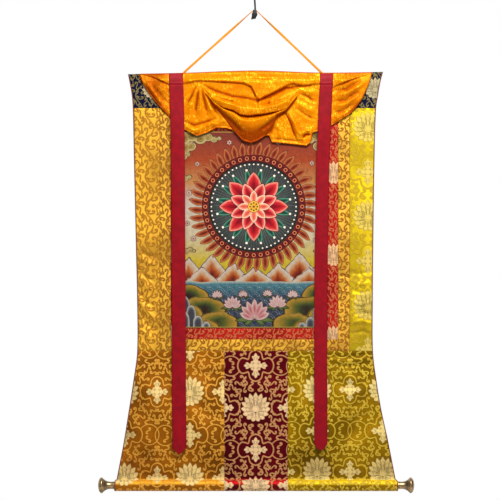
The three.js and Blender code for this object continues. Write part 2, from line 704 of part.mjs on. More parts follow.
const skirtLeftSide = (z, turned) => leftPanelEdge(z) - hemFlare(turned);
const skirtRightSide = (z, turned) => rightPanelEdge(z) + hemFlare(turned);
add("skirt_left", skirtGeometry(SKIRT_SIDE_COLUMNS, skirtLeftSide, steady(SKIRT_LEFT_SEAM - halfGap)),
  MATERIALS.ochre);
add("skirt_centre", skirtGeometry(SKIRT_CENTRE_COLUMNS, steady(SKIRT_LEFT_SEAM + halfGap),
  steady(SKIRT_RIGHT_SEAM - halfGap)), MATERIALS.maroon);
add("skirt_right", skirtGeometry(SKIRT_SIDE_COLUMNS, steady(SKIRT_RIGHT_SEAM + halfGap), skirtRightSide),
  MATERIALS.olive);

const bindingLeftOuter = (z, turned) => leftEdge(z) - hemFlare(turned);
const bindingRightOuter = (z, turned) => rightEdge(z) + hemFlare(turned);
const bindingLeftInner = (z, turned) => bindingLeftOuter(z, turned) + BINDING_WIDTH;
const bindingRightInner = (z, turned) => bindingRightOuter(z, turned) - BINDING_WIDTH;
const leftCorner = topEdge(leftEdge(TOP_EDGE[0].z));
const rightCorner = topEdge(rightEdge(TOP_EDGE[TOP_EDGE.length - 1].z));
add("binding_left", bindingGeometry(bindingLeftOuter, bindingLeftInner, leftCorner), MATERIALS.piping);
add("binding_right", bindingGeometry(bindingRightInner, bindingRightOuter, rightCorner), MATERIALS.piping);

add("ribbon_left", ribbonGeometry(RIBBON_LEFT), MATERIALS.crimson);
add("ribbon_right", ribbonGeometry(RIBBON_RIGHT), MATERIALS.crimson);
add("veil", veilGeometry(), MATERIALS.saffron);

const rollerLength = ROLLER_RIGHT - ROLLER_LEFT;
const roller = new THREE.CylinderGeometry(ROLLER_RADIUS, ROLLER_RADIUS, rollerLength, ROLLER_SIDES);
roller.rotateZ(Math.PI / 2);
roller.translate((ROLLER_LEFT + ROLLER_RIGHT) / 2, 0, ROLLER_AXIS);
add("roller", roller, MATERIALS.wood);
add("knob_left", knobGeometry(ROLLER_LEFT, -1), MATERIALS.brass);
add("knob_right", knobGeometry(ROLLER_RIGHT, 1), MATERIALS.brass);

export default thangka;
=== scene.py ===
"""Looks of a thangka scroll painting on a hanging hook: brocade, silk veil, ribbons, brass knobs."""

import math

import bmesh
import bpy
import numpy as np
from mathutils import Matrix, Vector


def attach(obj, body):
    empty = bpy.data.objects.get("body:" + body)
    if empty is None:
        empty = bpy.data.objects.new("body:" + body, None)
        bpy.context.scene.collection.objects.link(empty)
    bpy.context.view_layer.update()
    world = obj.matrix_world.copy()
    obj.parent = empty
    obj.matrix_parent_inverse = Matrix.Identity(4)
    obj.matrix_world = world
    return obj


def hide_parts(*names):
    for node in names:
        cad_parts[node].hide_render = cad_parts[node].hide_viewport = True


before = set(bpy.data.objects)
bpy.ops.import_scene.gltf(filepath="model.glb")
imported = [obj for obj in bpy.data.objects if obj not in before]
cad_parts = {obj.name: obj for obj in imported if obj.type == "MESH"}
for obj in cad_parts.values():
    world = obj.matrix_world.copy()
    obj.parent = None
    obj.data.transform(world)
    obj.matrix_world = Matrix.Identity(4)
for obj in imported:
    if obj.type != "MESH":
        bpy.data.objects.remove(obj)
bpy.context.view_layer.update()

# Tables and sizes below are in millimetres, in the frame's axes; MM turns them into metres.
MM = 0.001

# Farther than any pattern reaches.
FAR = 99.0

# The cloth's middle plane lies in front of the hook's rod.
CLOTH_DEPTH = -9.3
PANEL_THICKNESS = 1.6
RIBBON_THICKNESS = 1.0
VEIL_THICKNESS = 1.4

# Seams of the mounting.
PAINTING_HALF = 190.0
RED_HALF = 219.0
GOLD_HALF = 249.0
HEADING_SEAM = -294.0
RED_TOP = -324.0
PAINTING_TOP = -353.0
PAINTING_BOTTOM = -871.0
RED_BOTTOM = -900.0
SKIRT_SEAM = -930.0
SKIRT_LEFT_SEAM = -79.0
SKIRT_RIGHT_SEAM = 87.0
BINDING_WIDTH = 2.4

# Outer edges: level, left, right; and the top edge: across, level.
SIDE_EDGES = np.array([
    (-190, -335, 339), (-225, -328, 330), (-262, -321.5, 323.5), (-296, -319, 318.5), (-428, -316, 314.5),
    (-666, -310.5, 311), (-800, -307.5, 310), (-931, -307.5, 310.5), (-1000, -316, 318.5),
    (-1083, -329, 332), (-1166, -342.5, 350), (-1267, -361.5, 370),
])
TOP_EDGE = np.array([(-340, -204.5), (-186, -201.5), (0, -195.5), (175, -201), (345, -199)])

# Soft swells of the hanging cloth: across, level, reach across, reach down, forward.
CLOTH_FOLDS = [
    (-215, -1095, 120, 70, 9), (190, -1100, 110, 70, 8), (0, -1120, 90, 90, 4), (-316, -1165, 40, 70, -8),
    (268, -1120, 34, 75, -8), (335, -1110, 30, 90, 4), (-282, -760, 26, 70, 3), (-284, -560, 26, 60, -2.5),
    (284, -620, 28, 110, 2.5), (60, -620, 150, 160, 2), (-330, -215, 26, 45, -5), (334, -215, 26, 45, 5),
]
FOLDS_END = -1255.0
FOLDS_FADE = 55.0

# The roller, its crease and the hem round it.
ROLLER_AXIS = -1282.0
ROLLER_RADIUS = 12.6
HEM_RADIUS = 14.3
CREASE_RADIUS = 4.0
HEM_END_ANGLE = math.radians(436)
HEM_FLARE = 6.0
ROLLER_LEFT = -363.5
ROLLER_RIGHT = 372.0


def smooth(value):
    """Eases from 0 to 1 with level ends."""
    t = np.clip(value, 0.0, 1.0)
    return t * t * (3.0 - 2.0 * t)


def lerp(a, b, t):
    return a + (b - a) * t


def bell(value, reach):
    """1 in the middle, falling off to both sides."""
    return np.exp(-(value / reach) ** 2)


def far(like):
    """A field of distances that no form has come near yet."""
    return np.full(np.shape(like), FAR)


def smooth_table(keys, values, at):
    """Cubic through a table's rows; keys rise or fall."""
    keys = np.asarray(keys, float)
    values = np.asarray(values, float)
    if keys[-1] < keys[0]:
        keys, values = keys[::-1], values[::-1]
    at = np.asarray(at, float)
    index = np.clip(np.searchsorted(keys, at) - 1, 0, len(keys) - 2)
    before = np.maximum(index - 1, 0)
    after = np.minimum(index + 2, len(keys) - 1)
    span = keys[index + 1] - keys[index]
    t = np.clip((at - keys[index]) / span, 0.0, 1.0)
    first = (values[index + 1] - values[before]) / (keys[index + 1] - keys[before]) * span
    last = (values[after] - values[index]) / (keys[after] - keys[index]) * span
    step = values[index + 1] - values[index]
    bend = (1 - t) * first - t * last - (1 - 2 * t) * step
    return lerp(values[index], values[index + 1], t) + t * (1 - t) * bend


def left_edge(z):
    return smooth_table(SIDE_EDGES[:, 0], SIDE_EDGES[:, 1], z)


def right_edge(z):
    return smooth_table(SIDE_EDGES[:, 0], SIDE_EDGES[:, 2], z)


def top_edge(x):
    return smooth_table(TOP_EDGE[:, 0], TOP_EDGE[:, 1], x)


def near_line(line, x, y):
    """Distance from points to a broken line, and the part of the line's length reached there, 0 to 1."""
    best = np.full(np.shape(x), np.inf)
    along = np.zeros(np.shape(x))
    pairs = list(zip(line[:-1], line[1:]))
    for number, ((ax, ay), (bx, by)) in enumerate(pairs):
        length = max((bx - ax) ** 2 + (by - ay) ** 2, 1e-9)
        t = np.clip(((x - ax) * (bx - ax) + (y - ay) * (by - ay)) / length, 0.0, 1.0)
        distance = np.hypot(x - lerp(ax, bx, t), y - lerp(ay, by, t))
        nearer = distance < best
        best = np.where(nearer, distance, best)
        along = np.where(nearer, (number + t) / len(pairs), along)
    return best, along


NOISE_STEPS = (127.1, 311.7, 74.7)
NOISE_GAIN = 43758.5453


def value_noise(x, y, seed):
    """Smooth noise from -1 to 1 on a unit grid, the same on every run."""
    ix, iy = np.floor(x), np.floor(y)
    fx, fy = smooth(x - ix), smooth(y - iy)

    def corner(dx, dy):
        turn = (ix + dx) * NOISE_STEPS[0] + (iy + dy) * NOISE_STEPS[1] + seed * NOISE_STEPS[2]
        wave = np.sin(turn) * NOISE_GAIN
        return 2.0 * (wave - np.floor(wave)) - 1.0

    upper = lerp(corner(0, 0), corner(1, 0), fx)
    lower = lerp(corner(0, 1), corner(1, 1), fx)
    return lerp(upper, lower, fy)


# Creases and ridges of the mounting: half width, forward, then the line's points (across, level).
CLOTH_CREASES = [
    (5.0, -1.5, [(196, -942), (228, -947), (262, -944), (292, -938)]),
    (6.0, 1.4, [(200, -952), (238, -958), (280, -952), (306, -946)]),
    (5.0, -1.3, [(206, -966), (246, -972), (290, -962)]),
    (12.0, 1.6, [(226, -992), (262, -1004), (300, -990)]),
    (14.0, -1.6, [(214, -1010), (250, -1026), (296, -1016)]),
    (16.0, 2.0, [(236, -1046), (278, -1036), (308, -1010)]),
    (10.0, -1.8, [(240, -1090), (272, -1070), (300, -1042)]),
    (11.0, -1.6, [(232, -1124), (266, -1108), (310, -1086)]),
    (16.0, 1.6, [(120, -985), (112, -1060), (124, -1130)]),
    (12.0, -1.2, [(92, -1010), (100, -1080), (94, -1150)]),
    (16.0, 1.8, [(-150, -960), (-130, -975), (-96, -968)]),
    (10.0, -1.3, [(-150, -982), (-120, -992), (-88, -986)]),
    (26.0, 2.4, [(-318, -985), (-285, -1030), (-246, -1066)]),
    (22.0, -2.4, [(-330, -1050), (-296, -1092), (-250, -1128)]),
    (20.0, 1.9, [(-338, -1120), (-300, -1160), (-240, -1190)]),
    (20.0, -2.0, [(-346, -1180), (-300, -1214), (-230, -1226)]),
    (18.0, 1.9, [(-160, -1010), (-128, -1042), (-96, -1056)]),
    (16.0, -1.9, [(-164, -1058), (-130, -1088), (-94, -1104)]),
    (18.0, 1.6, [(-160, -1120), (-124, -1148), (-92, -1154)]),
    (24.0, -2.3, [(230, -1150), (276, -1130), (330, -1084)]),
    (22.0, 2.1, [(236, -1196), (286, -1172), (344, -1130)]),
    (16.0, 1.6, [(96, -1176), (124, -1190), (160, -1184)]),
    (18.0, 1.3, [(-60, -1010), (0, -1030), (64, -1014)]),
    (16.0, -1.3, [(-60, -1062), (4, -1078), (66, -1062)]),
    (18.0, 1.2, [(-58, -1150), (6, -1166), (64, -1150)]),
    (5.0, -1.2, [(-300, -668), (-280, -682), (-258, -680)]),
    (6.0, 1.2, [(-300, -684), (-276, -700), (-256, -704)]),
    (5.0, -1.2, [(-304, -716), (-286, -736), (-262, -748)]),
    (6.0, 1.4, [(-302, -736), (-284, -760), (-262, -772)]),
    (5.0, -1.3, [(-304, -772), (-286, -800), (-264, -812)]),
    (7.0, 1.4, [(-300, -800), (-280, -830), (-258, -846)]),
    (5.0, -1.3, [(-298, -838), (-280, -862), (-258, -876)]),
    (6.0, 1.1, [(-300, -872), (-280, -890), (-256, -898)]),
    (4.5, -1.2, [(252, -724), (276, -728), (304, -722)]),
    (5.0, 1.1, [(254, -748), (280, -756), (306, -748)]),
    (4.5, -1.2, [(252, -770), (278, -778), (306, -772)]),
    (5.0, 1.2, [(256, -800), (280, -808), (306, -802)]),
    (4.5, -1.3, [(262, -834), (284, -828), (306, -836)]),
    (5.0, 1.2, [(256, -858), (282, -850), (306, -860)]),
    (4.5, -1.2, [(256, -884), (284, -878), (304, -886)]),
    (4.0, -1.0, [(222, -735), (234, -732), (247, -736)]),
    (4.0, -1.0, [(222, -802), (234, -806), (247, -803)]),
    (4.0, -0.9, [(222, -846), (235, -842), (247, -846)]),
    (4.0, 0.8, [(222, -772), (235, -776), (247, -770)]),
]
CREASE_GAIN = 2.2
CREASE_END_SHARE = 0.3
LINE_FADE = 0.25

# Puckered seams: across, reach. Then the puckers' depth and spacing, and a slight waver of all the cloth.
SEAM_PUCKERS = [(-GOLD_HALF, 16.0), (GOLD_HALF, 12.0), (RED_HALF, 9.0), (-RED_HALF, 9.0)]
PUCKER_DEPTH, PUCKER_LENGTH, PUCKER_WIDTH, PUCKER_FADE, PUCKER_SEED = 0.55, 15.0, 40.0, 20.0, 3.0
WAVER_DEPTH, WAVER_WIDTH, WAVER_LENGTH, WAVER_SEED = 0.35, 46.0, 34.0, 8.0


def fold_relief(folds, end_share, x, y):
    """Height of ridges and creases along their lines, falling to a share of it at the lines' ends."""
    relief = np.zeros(np.broadcast(x, y).shape)
    for width, height, line in folds:
        distance, along = near_line(line, x, y)
        ends = smooth(along / LINE_FADE) * smooth((1.0 - along) / LINE_FADE)
        relief += height * lerp(end_share, 1.0, ends) * bell(distance, width)
    return relief


def cloth_forward(x, z):
    """How far forward the hanging cloth stands, with its creases and the puckers along its upright seams."""
    forward = CREASE_GAIN * fold_relief(CLOTH_CREASES, CREASE_END_SHARE, x, z)
    for fold_x, fold_z, across, down, height in CLOTH_FOLDS:
        forward += height * bell(x - fold_x, across) * bell(z - fold_z, down)
    ripple = value_noise(z / PUCKER_LENGTH, x / PUCKER_WIDTH, PUCKER_SEED) * smooth((z - SKIRT_SEAM) / PUCKER_FADE)
    for seam_x, reach in SEAM_PUCKERS:
        forward += PUCKER_DEPTH * ripple * bell(x - seam_x, reach)
    forward += WAVER_DEPTH * value_noise(x / WAVER_WIDTH, z / WAVER_LENGTH, WAVER_SEED)
    return forward * smooth((z - FOLDS_END) / FOLDS_FADE)


# The closed sheets.
def grid_normals(points):
    """Front normals of a grid of points: rows run down, columns run to the right."""
    down = np.gradient(points, axis=0)
    across = np.gradient(points, axis=1)
    normal = np.cross(down, across)
    return normal / np.maximum(np.linalg.norm(normal, axis=2, keepdims=True), 1e-12)


def linked(name, data):
    """A new object in the scene."""
    obj = bpy.data.objects.new(name, data)
    bpy.context.scene.collection.objects.link(obj)
    return obj


def add_mesh(name, vertices, faces, attributes, flat_faces=0):
    """A mesh object from millimetre vertices and float attributes; its last flat_faces faces are flat."""
    mesh = bpy.data.meshes.new(name)
    mesh.from_pydata((np.asarray(vertices) * MM).tolist(), [], faces)
    shade = np.ones(len(faces), dtype=bool)
    if flat_faces:
        shade[-flat_faces:] = False
    mesh.polygons.foreach_set("use_smooth", shade)
    for key, values in attributes.items():
        layer = mesh.attributes.new(key, "FLOAT", "POINT")
        layer.data.foreach_set("value", np.asarray(values, dtype=np.float32))
    mesh.update()
    return linked(name, mesh)


def sheet_object(name, points, thickness, attributes, coarse=4, along_depth=False):
    """A closed sheet: its front is a fine grid, its back a coarser one with the same border."""
    rows, columns = points.shape[0] - 1, points.shape[1] - 1
    normals = np.zeros_like(points)
    if along_depth:
        normals[..., 1] = -1.0
    else:
        normals = grid_normals(points)
    back_points = points - normals * thickness
    number = np.arange((rows + 1) * (columns + 1)).reshape(rows + 1, columns + 1)
    quads = np.stack([number[:-1, :-1], number[1:, :-1], number[1:, 1:], number[:-1, 1:]], axis=-1)
    faces = quads.reshape(-1, 4).tolist()

    kept = np.zeros((rows + 1, columns + 1), dtype=bool)
    kept[::coarse, ::coarse] = True
    kept[0, :] = kept[-1, :] = kept[:, 0] = kept[:, -1] = True
    back_number = np.full((rows + 1, columns + 1), -1)
    back_number[kept] = number.size + np.arange(kept.sum())
    row_stops = sorted(set(range(0, rows, coarse)) | {rows})
    column_stops = sorted(set(range(0, columns, coarse)) | {columns})
    for r0, r1 in zip(row_stops[:-1], row_stops[1:]):
        for c0, c1 in zip(column_stops[:-1], column_stops[1:]):
            top = range(c0, c1) if r0 == 0 else [c0]
            right = range(r0, r1) if c1 == columns else [r0]
            bottom = range(c1, c0, -1) if r1 == rows else [c1]
            left = range(r1, r0, -1) if c0 == 0 else [r1]
            ring = [back_number[r0, c] for c in top] + [back_number[r, c1] for r in right]
            ring += [back_number[r1, c] for c in bottom] + [back_number[r, c0] for r in left]
            faces.append([int(v) for v in ring])

    rim = []
    border = [(0, c) for c in range(columns)] + [(r, columns) for r in range(rows)]
    border += [(rows, c) for c in range(columns, 0, -1)] + [(r, 0) for r in range(rows, 0, -1)]
    for here, after in zip(border, border[1:] + border[:1]):
        rim.append([int(number[here]), int(number[after]), int(back_number[after]), int(back_number[here])])

    vertices = np.concatenate([points.reshape(-1, 3), back_points[kept]])
    values = {"front": np.concatenate([np.ones(number.size), np.zeros(kept.sum())])}
    for key, field in attributes.items():
        whole = np.broadcast_to(field, number.shape)
        values[key] = np.concatenate([whole.ravel(), whole[kept]])
    return add_mesh(name, vertices, faces + rim, values, len(rim))


def ring_tube(name, centres, section_axes, section, attributes):
    """A closed tube: at each centre the section's two numbers are measured along that place's two axes."""
    count, sides = len(centres), len(section)
    first, second = section_axes
    vertices = (centres[:, None, :] + section[None, :, 0, None] * first[:, None, :]
                + section[None, :, 1, None] * second[:, None, :]).reshape(-1, 3)
    faces = []
    for ring in range(count - 1):
        for side in range(sides):
            after = (side + 1) % sides
            faces.append([ring * sides + side, ring * sides + after,
                          (ring + 1) * sides + after, (ring + 1) * sides + side])
    faces.append(list(range(sides))[::-1])
    faces.append([(count - 1) * sides + side for side in range(sides)])
    return add_mesh(name, vertices, faces, attributes, 2)


def oval_section(half_first, half_second, sides=12):
    angles = np.linspace(0, 2 * math.pi, sides, endpoint=False)
    return np.stack([half_first * np.cos(angles), half_second * np.sin(angles)], axis=1)


def turned_object(name, outline, axis_start, direction, segments=96):
    """A piece turned about a line along X: outline rows are (distance along, radius) and end on the axis."""
    outline = np.asarray(outline, float)
    angles = np.linspace(0, 2 * math.pi, segments, endpoint=False)
    vertices, faces, along_values = [], [], []
    start_x, axis_y, axis_z = axis_start
    for along, radius in outline[1:-1]:
        for angle in angles:
            vertices.append((start_x + direction * along, axis_y + radius * math.cos(angle),
                             axis_z + radius * math.sin(angle)))
            along_values.append(along)
    rings = len(outline) - 2
    tip_first = len(vertices)
    vertices.append((start_x + direction * outline[0, 0], axis_y, axis_z))
    vertices.append((start_x + direction * outline[-1, 0], axis_y, axis_z))
    along_values += [outline[0, 0], outline[-1, 0]]
    for side in range(segments):
        after = (side + 1) % segments
        for ring in range(rings - 1):
            low, high = ring * segments, (ring + 1) * segments
            faces.append([low + side, low + after, high + after, high + side])
        faces.append([tip_first, after, side])
        top = (rings - 1) * segments
        faces.append([tip_first + 1, top + side, top + after])
    if direction < 0:
        faces = [face[::-1] for face in faces]
    return add_mesh(name, vertices, faces, {"along": along_values})


# The brocade's patterns. The full repeat has a cross-shaped flower in a lobed frame, a lotus between two of
# them, the same flower and two linked rings in the next column, and scrolls. Narrow strips have scrolls that
# branch from stems, some with a lotus.
REPEAT_WIDTH = 172.0
REPEAT_HEIGHT = 220.0
SCROLL_WIDTH = 66.0
SCROLL_HEIGHT = 92.0
REPEAT_STEP = 0.8
FRAME_QUARTER = [
    (0, 41), (8, 38.5), (15, 32), (17.5, 22), (20, 16.5), (26, 18.5), (35, 20), (42, 15), (46, 7), (47, 0),
]
FRAME_STROKE = 1.9
RING_CENTRE = (-65.0, -1.0)
RING_RADIUS = 26.0
RING_STROKE = 1.5
SCROLL_STROKE = 1.75
BULB_RADIUS = 2.6
SCROLL_TURN = 1.25 * math.pi
SCROLL_POINTS = 25
SECOND_FLOWER = 0.94
QUARTERS = ((1, 1), (1, -1), (-1, 1), (-1, -1))

# How near a stroke is charted, how far a chart is read, and how far vines stop short of blooms.
STROKE_REACH = 9.0
CHART_REACH = 6.0
VINE_GAP = 2.2

# Scrolls in one quarter of the full repeat, mirrored into the others: across, up, half length, degrees, kind.
QUARTER_SCROLLS = [
    (12, 51, 15, 20, "S"), (27, 43, 15, -50, "C"), (13, 63, 14, 160, "C"), (29, 60, 17, 60, "S"),
    (44, 46, 17, 130, "S"), (45, 65, 16, 10, "C"), (41, 81, 17, 75, "S"), (57, 78, 15, -40, "S"),
    (60, 56, 17, 100, "S"), (61, 37, 16, 10, "S"), (77, 44, 16, 70, "C"), (76, 62, 15, 150, "S"),
    (86, 34, 12, 90, "S"), (63, 11, 15, 14, "S"), (33, 30, 13, -60, "S"), (45, 97, 11, 90, "S"),
]

# Scrolls of the strips, in the same columns, and the stems that join them.
STRIP_SCROLLS = [
    (9, 11, 23, 65, "S"), (31, 5, 19, 20, "C"), (52, 16, 22, 115, "S"), (27, 27, 20, 150, "S"),
    (61, 39, 20, 50, "C"), (7, 42, 21, 100, "S"), (40, 44, 22, 40, "S"), (22, 59, 20, 5, "C"),
    (56, 63, 22, 75, "S"), (36, 76, 21, 130, "S"), (9, 75, 19, 40, "S"), (59, 86, 17, 170, "C"),
]
STRIP_STEMS = [16.0, 49.0]
STEM_SWING = 12.0
STEM_STROKE = 1.3

# Petals of the flower, mirrored into its quarters: foot, tip, half width. Lines within the forms: depth, half width.
FLOWER_PETALS = [
    ((0, -27), (0, 27), 8.6), ((0, 12), (0, 33), 5.2), ((-23, 0), (23, 0), 8.4), ((17, 0), (31, 0), 4.2),
    ((16, 1), (26, 8), 3.4), ((2, 17), (9.5, 25), 3.2), ((3, 3), (12, 11), 4.4),
]
FLOWER_LINE = (1.6, 0.5)
LOTUS_LINE = (0.6, 0.6)
POD_LINE = (2.5, 0.5)

# Rings of lotus petals: count, reach, half width, how far the petal's foot lies below the middle.
LOTUS_RINGS = [(15, 39.0, 7.0, 9.0), (11, 28.0, 6.4, 9.0), (7, 18.0, 5.0, 8.0)]
LOTUS_FOOT = 0.26
LOTUS_RISE = 2.0
POD_DROP, POD_RADIUS = 5.0, 8.0


def vesica(x, y, a, b, width):
    """Signed distance to a pointed petal from a to b."""
    ax, ay = a
    bx, by = b
    half = math.hypot(bx - ax, by - ay) / 2
    radius = (half * half + width * width) / (2 * width)
    nx, ny = -(by - ay) / (2 * half), (bx - ax) / (2 * half)
    offset = radius - width
    mx, my = (ax + bx) / 2, (ay + by) / 2
    one = np.hypot(x - mx - nx * offset, y - my - ny * offset)
    two = np.hypot(x - mx + nx * offset, y - my + ny * offset)
    return np.maximum(one, two) - radius


def inner_line(distance, depth, half_width):
    """Distance to a line that runs inside a form at a depth."""
    return np.abs(distance + depth) - half_width


def rounded_line(points, steps=6):
    """Catmull-Rom points through a short list."""
    points = np.asarray(points, float)
    padded = np.vstack([2 * points[0] - points[1], points, 2 * points[-1] - points[-2]])
    made = []
    for i in range(1, len(padded) - 2):
        p0, p1, p2, p3 = padded[i - 1:i + 3]
        for step in range(steps):
            t = step / steps
            made.append(0.5 * (2 * p1 + (p2 - p0) * t + (2 * p0 - 5 * p1 + 4 * p2 - p3) * t ** 2
                               + (3 * p1 - p0 - 3 * p2 + p3) * t ** 3))
    made.append(points[-1])
    return np.array(made)


def frame_reach(x, y, scale):
    """How far inside the lobed frame a place is, positive within it."""
    corners = np.array(FRAME_QUARTER, float) * scale
    turn = np.arctan2(corners[:, 1], corners[:, 0])
    reach = np.hypot(corners[:, 0], corners[:, 1])
    here = np.arctan2(np.abs(y), np.abs(x))
    return np.interp(here, turn[::-1], reach[::-1]) - np.hypot(x, y)


def scroll_line(x, y, half_length, degrees, kind):
    """A stroke curled at both ends: an S curls them opposite ways, a C the same way."""
    along = np.linspace(-1, 1, SCROLL_POINTS)
    bend = along * (np.abs(along) if kind == "C" else along)
    turn = math.radians(degrees) + SCROLL_TURN * bend
    step = 2 * half_length / SCROLL_POINTS
    line = np.cumsum(np.stack([np.cos(turn), np.sin(turn)], axis=1) * step, axis=0)
    return line - line.mean(axis=0) + (x, y)


def scroll_strokes(line):
    return [(line, SCROLL_STROKE), (line[[0, 0]], BULB_RADIUS), (line[[-1, -1]], BULB_RADIUS)]


def chart_strokes(strokes, width, height):
    """Signed distance to strokes, given as points and a half width, on a grid that wraps."""
    columns, rows = int(round(width / REPEAT_STEP)), int(round(height / REPEAT_STEP))
    xs, ys = np.arange(columns) * REPEAT_STEP, np.arange(rows) * REPEAT_STEP
    chart = np.full((rows, columns), FAR)
    for points, stroke in strokes:
        for shift in [(i * width, j * height) for i in (-1, 0, 1) for j in (-1, 0, 1)]:
            line = points + shift
            for a, b in zip(line[:-1], line[1:]):
                c0 = int(max(0, (min(a[0], b[0]) - STROKE_REACH) // REPEAT_STEP))
                c1 = int(min(columns, (max(a[0], b[0]) + STROKE_REACH) // REPEAT_STEP + 1))
                r0 = int(max(0, (min(a[1], b[1]) - STROKE_REACH) // REPEAT_STEP))
                r1 = int(min(rows, (max(a[1], b[1]) + STROKE_REACH) // REPEAT_STEP + 1))
                if c0 >= c1 or r0 >= r1:
                    continue
                px = xs[None, c0:c1] - a[0]
                py = ys[r0:r1, None] - a[1]
                dx, dy = b - a
                t = np.clip((px * dx + py * dy) / max(dx * dx + dy * dy, 1e-9), 0, 1)
                distance = np.hypot(px - t * dx, py - t * dy) - stroke
                chart[r0:r1, c0:c1] = np.minimum(chart[r0:r1, c0:c1], distance)
    return chart


def lotus_chart(x, y):
    """Signed distance to a lotus, and to the fine lines in it."""
    bloom, vein = far(x), far(x)
    y = y - LOTUS_RISE
    for count, reach, width, foot in LOTUS_RINGS:
        for k in range(count):
            angle = math.pi / 2 + 2 * math.pi * k / count
            tip = (reach * math.cos(angle), reach * math.sin(angle))
            petal = vesica(x, y, (tip[0] * LOTUS_FOOT, tip[1] * LOTUS_FOOT - foot), tip, width)
            bloom = np.minimum(bloom, petal)
            vein = np.minimum(vein, inner_line(petal, *LOTUS_LINE))
    pod = np.hypot(x, y + POD_DROP) - POD_RADIUS
    vein = np.minimum(np.maximum(vein, -pod), inner_line(pod, *POD_LINE))
    return np.minimum(bloom, pod), vein


class Repeat:
    """Signed distances to vines, blooms and the blooms' fine lines over one repeat, read with wrapping."""

    def __init__(self, width, height, vine, bloom, vein):
        self.width, self.height = width, height
        self.charts = {"vine": np.maximum(vine, VINE_GAP - bloom), "bloom": bloom, "vein": vein}

    def read(self, x, z, scale, origin, stretch=1.0):
        """The distances at places on the cloth, with the repeat's own origin at that origin."""
        u = ((x - origin[0]) / scale % self.width) / REPEAT_STEP
        v = ((z - origin[1]) / (scale * stretch) % self.height) / REPEAT_STEP
        rows, columns = self.charts["vine"].shape
        c0, r0 = np.floor(u).astype(int), np.floor(v).astype(int)
        fu, fv = u - c0, v - r0
        c0, r0 = c0 % columns, r0 % rows
        c1, r1 = (c0 + 1) % columns, (r0 + 1) % rows
        read = {}
        for key, chart in self.charts.items():
            upper = lerp(chart[r0, c0], chart[r0, c1], fu)
            lower = lerp(chart[r1, c0], chart[r1, c1], fu)
            read[key] = np.clip(lerp(upper, lower, fv), -CHART_REACH, CHART_REACH) * scale
        return read


def wrapped_places(width, height, centre_x, centre_y):
    """Places of a wrapping grid, measured from a centre."""
    columns, rows = int(round(width / REPEAT_STEP)), int(round(height / REPEAT_STEP))
    x, y = np.meshgrid(np.arange(columns) * REPEAT_STEP, np.arange(rows) * REPEAT_STEP)
    return (x - centre_x + width / 2) % width - width / 2, (y - centre_y + height / 2) % height - height / 2


def full_repeat():
    """Flowers in frames, lotuses, linked rings and scrolls."""
    half_w, half_h = REPEAT_WIDTH / 2, REPEAT_HEIGHT / 2
    strokes = []
    quarter = rounded_line(FRAME_QUARTER)
    for sign in QUARTERS:
        strokes.append((quarter * sign, FRAME_STROKE))
        strokes.append((quarter * sign * SECOND_FLOWER + (half_w, half_h), FRAME_STROKE))
        for scroll in QUARTER_SCROLLS:
            strokes += scroll_strokes(scroll_line(*scroll) * sign)
    vine = chart_strokes(strokes, REPEAT_WIDTH, REPEAT_HEIGHT)
    inside_frame = frame_reach(*wrapped_places(REPEAT_WIDTH, REPEAT_HEIGHT, 0, 0), 1.0)
    for sign in (1, -1):
        x, y = wrapped_places(REPEAT_WIDTH, REPEAT_HEIGHT, sign * RING_CENTRE[0], sign * RING_CENTRE[1])
        ring = np.abs(np.hypot(x, y) - RING_RADIUS) - RING_STROKE
        vine = np.minimum(vine, np.maximum(ring, inside_frame))
    bloom, vein = lotus_chart(*wrapped_places(REPEAT_WIDTH, REPEAT_HEIGHT, 0, half_h))
    for cx, cy, scale in ((0, 0, 1.0), (half_w, half_h, SECOND_FLOWER)):
        x, y = wrapped_places(REPEAT_WIDTH, REPEAT_HEIGHT, cx, cy)
        for sign_x, sign_y in QUARTERS:
            for foot, tip, width in FLOWER_PETALS:
                petal = vesica(sign_x * x / scale, sign_y * y / scale, foot, tip, width) * scale
                bloom = np.minimum(bloom, petal)
                vein = np.minimum(vein, inner_line(petal, *FLOWER_LINE))
    return Repeat(REPEAT_WIDTH, REPEAT_HEIGHT, vine, bloom, vein)


def strip_repeats():
    """Scrolls alone, and a larger repeat of them with a lotus at its origin."""
    strokes = []
    for scroll in STRIP_SCROLLS:
        strokes += scroll_strokes(scroll_line(*scroll))
    levels = np.linspace(0, SCROLL_HEIGHT, SCROLL_POINTS)
    for stem_x in STRIP_STEMS:
        stem = stem_x + STEM_SWING * np.sin(2 * math.pi * levels / SCROLL_HEIGHT)
        strokes.append((np.stack([stem, levels], axis=1), STEM_STROKE))
    vine = chart_strokes(strokes, SCROLL_WIDTH, SCROLL_HEIGHT)
    scrolls = Repeat(SCROLL_WIDTH, SCROLL_HEIGHT, vine, far(vine), far(vine))
    wide = np.tile(vine, (3, 2))
    x, y = np.meshgrid(np.arange(wide.shape[1]) * REPEAT_STEP, np.arange(wide.shape[0]) * REPEAT_STEP)
    width, height = wide.shape[1] * REPEAT_STEP, wide.shape[0] * REPEAT_STEP
    lotus = lotus_chart((x + width / 2) % width - width / 2, (y + height / 2) % height - height / 2)
    return scrolls, Repeat(width, height, wide, *lotus)


FULL = full_repeat()
SCROLLS, LOTUSES = strip_repeats()


# Node materials.
def srgb(colour, factor=1.0):
    """Linear colour from the 0 to 255 values of a display, made darker or lighter by a factor."""
    def linear(value):
        value = min(value * factor, 255.0) / 255.0
        return value / 12.92 if value <= 0.04045 else ((value + 0.055) / 1.055) ** 2.4
    return (*[linear(value) for value in colour], 1.0)


# Blender's wave texture has this scale for bands one metre apart.
WAVE_SCALE = 2 * math.pi / 20.0
THREAD_WANDER = 0.6


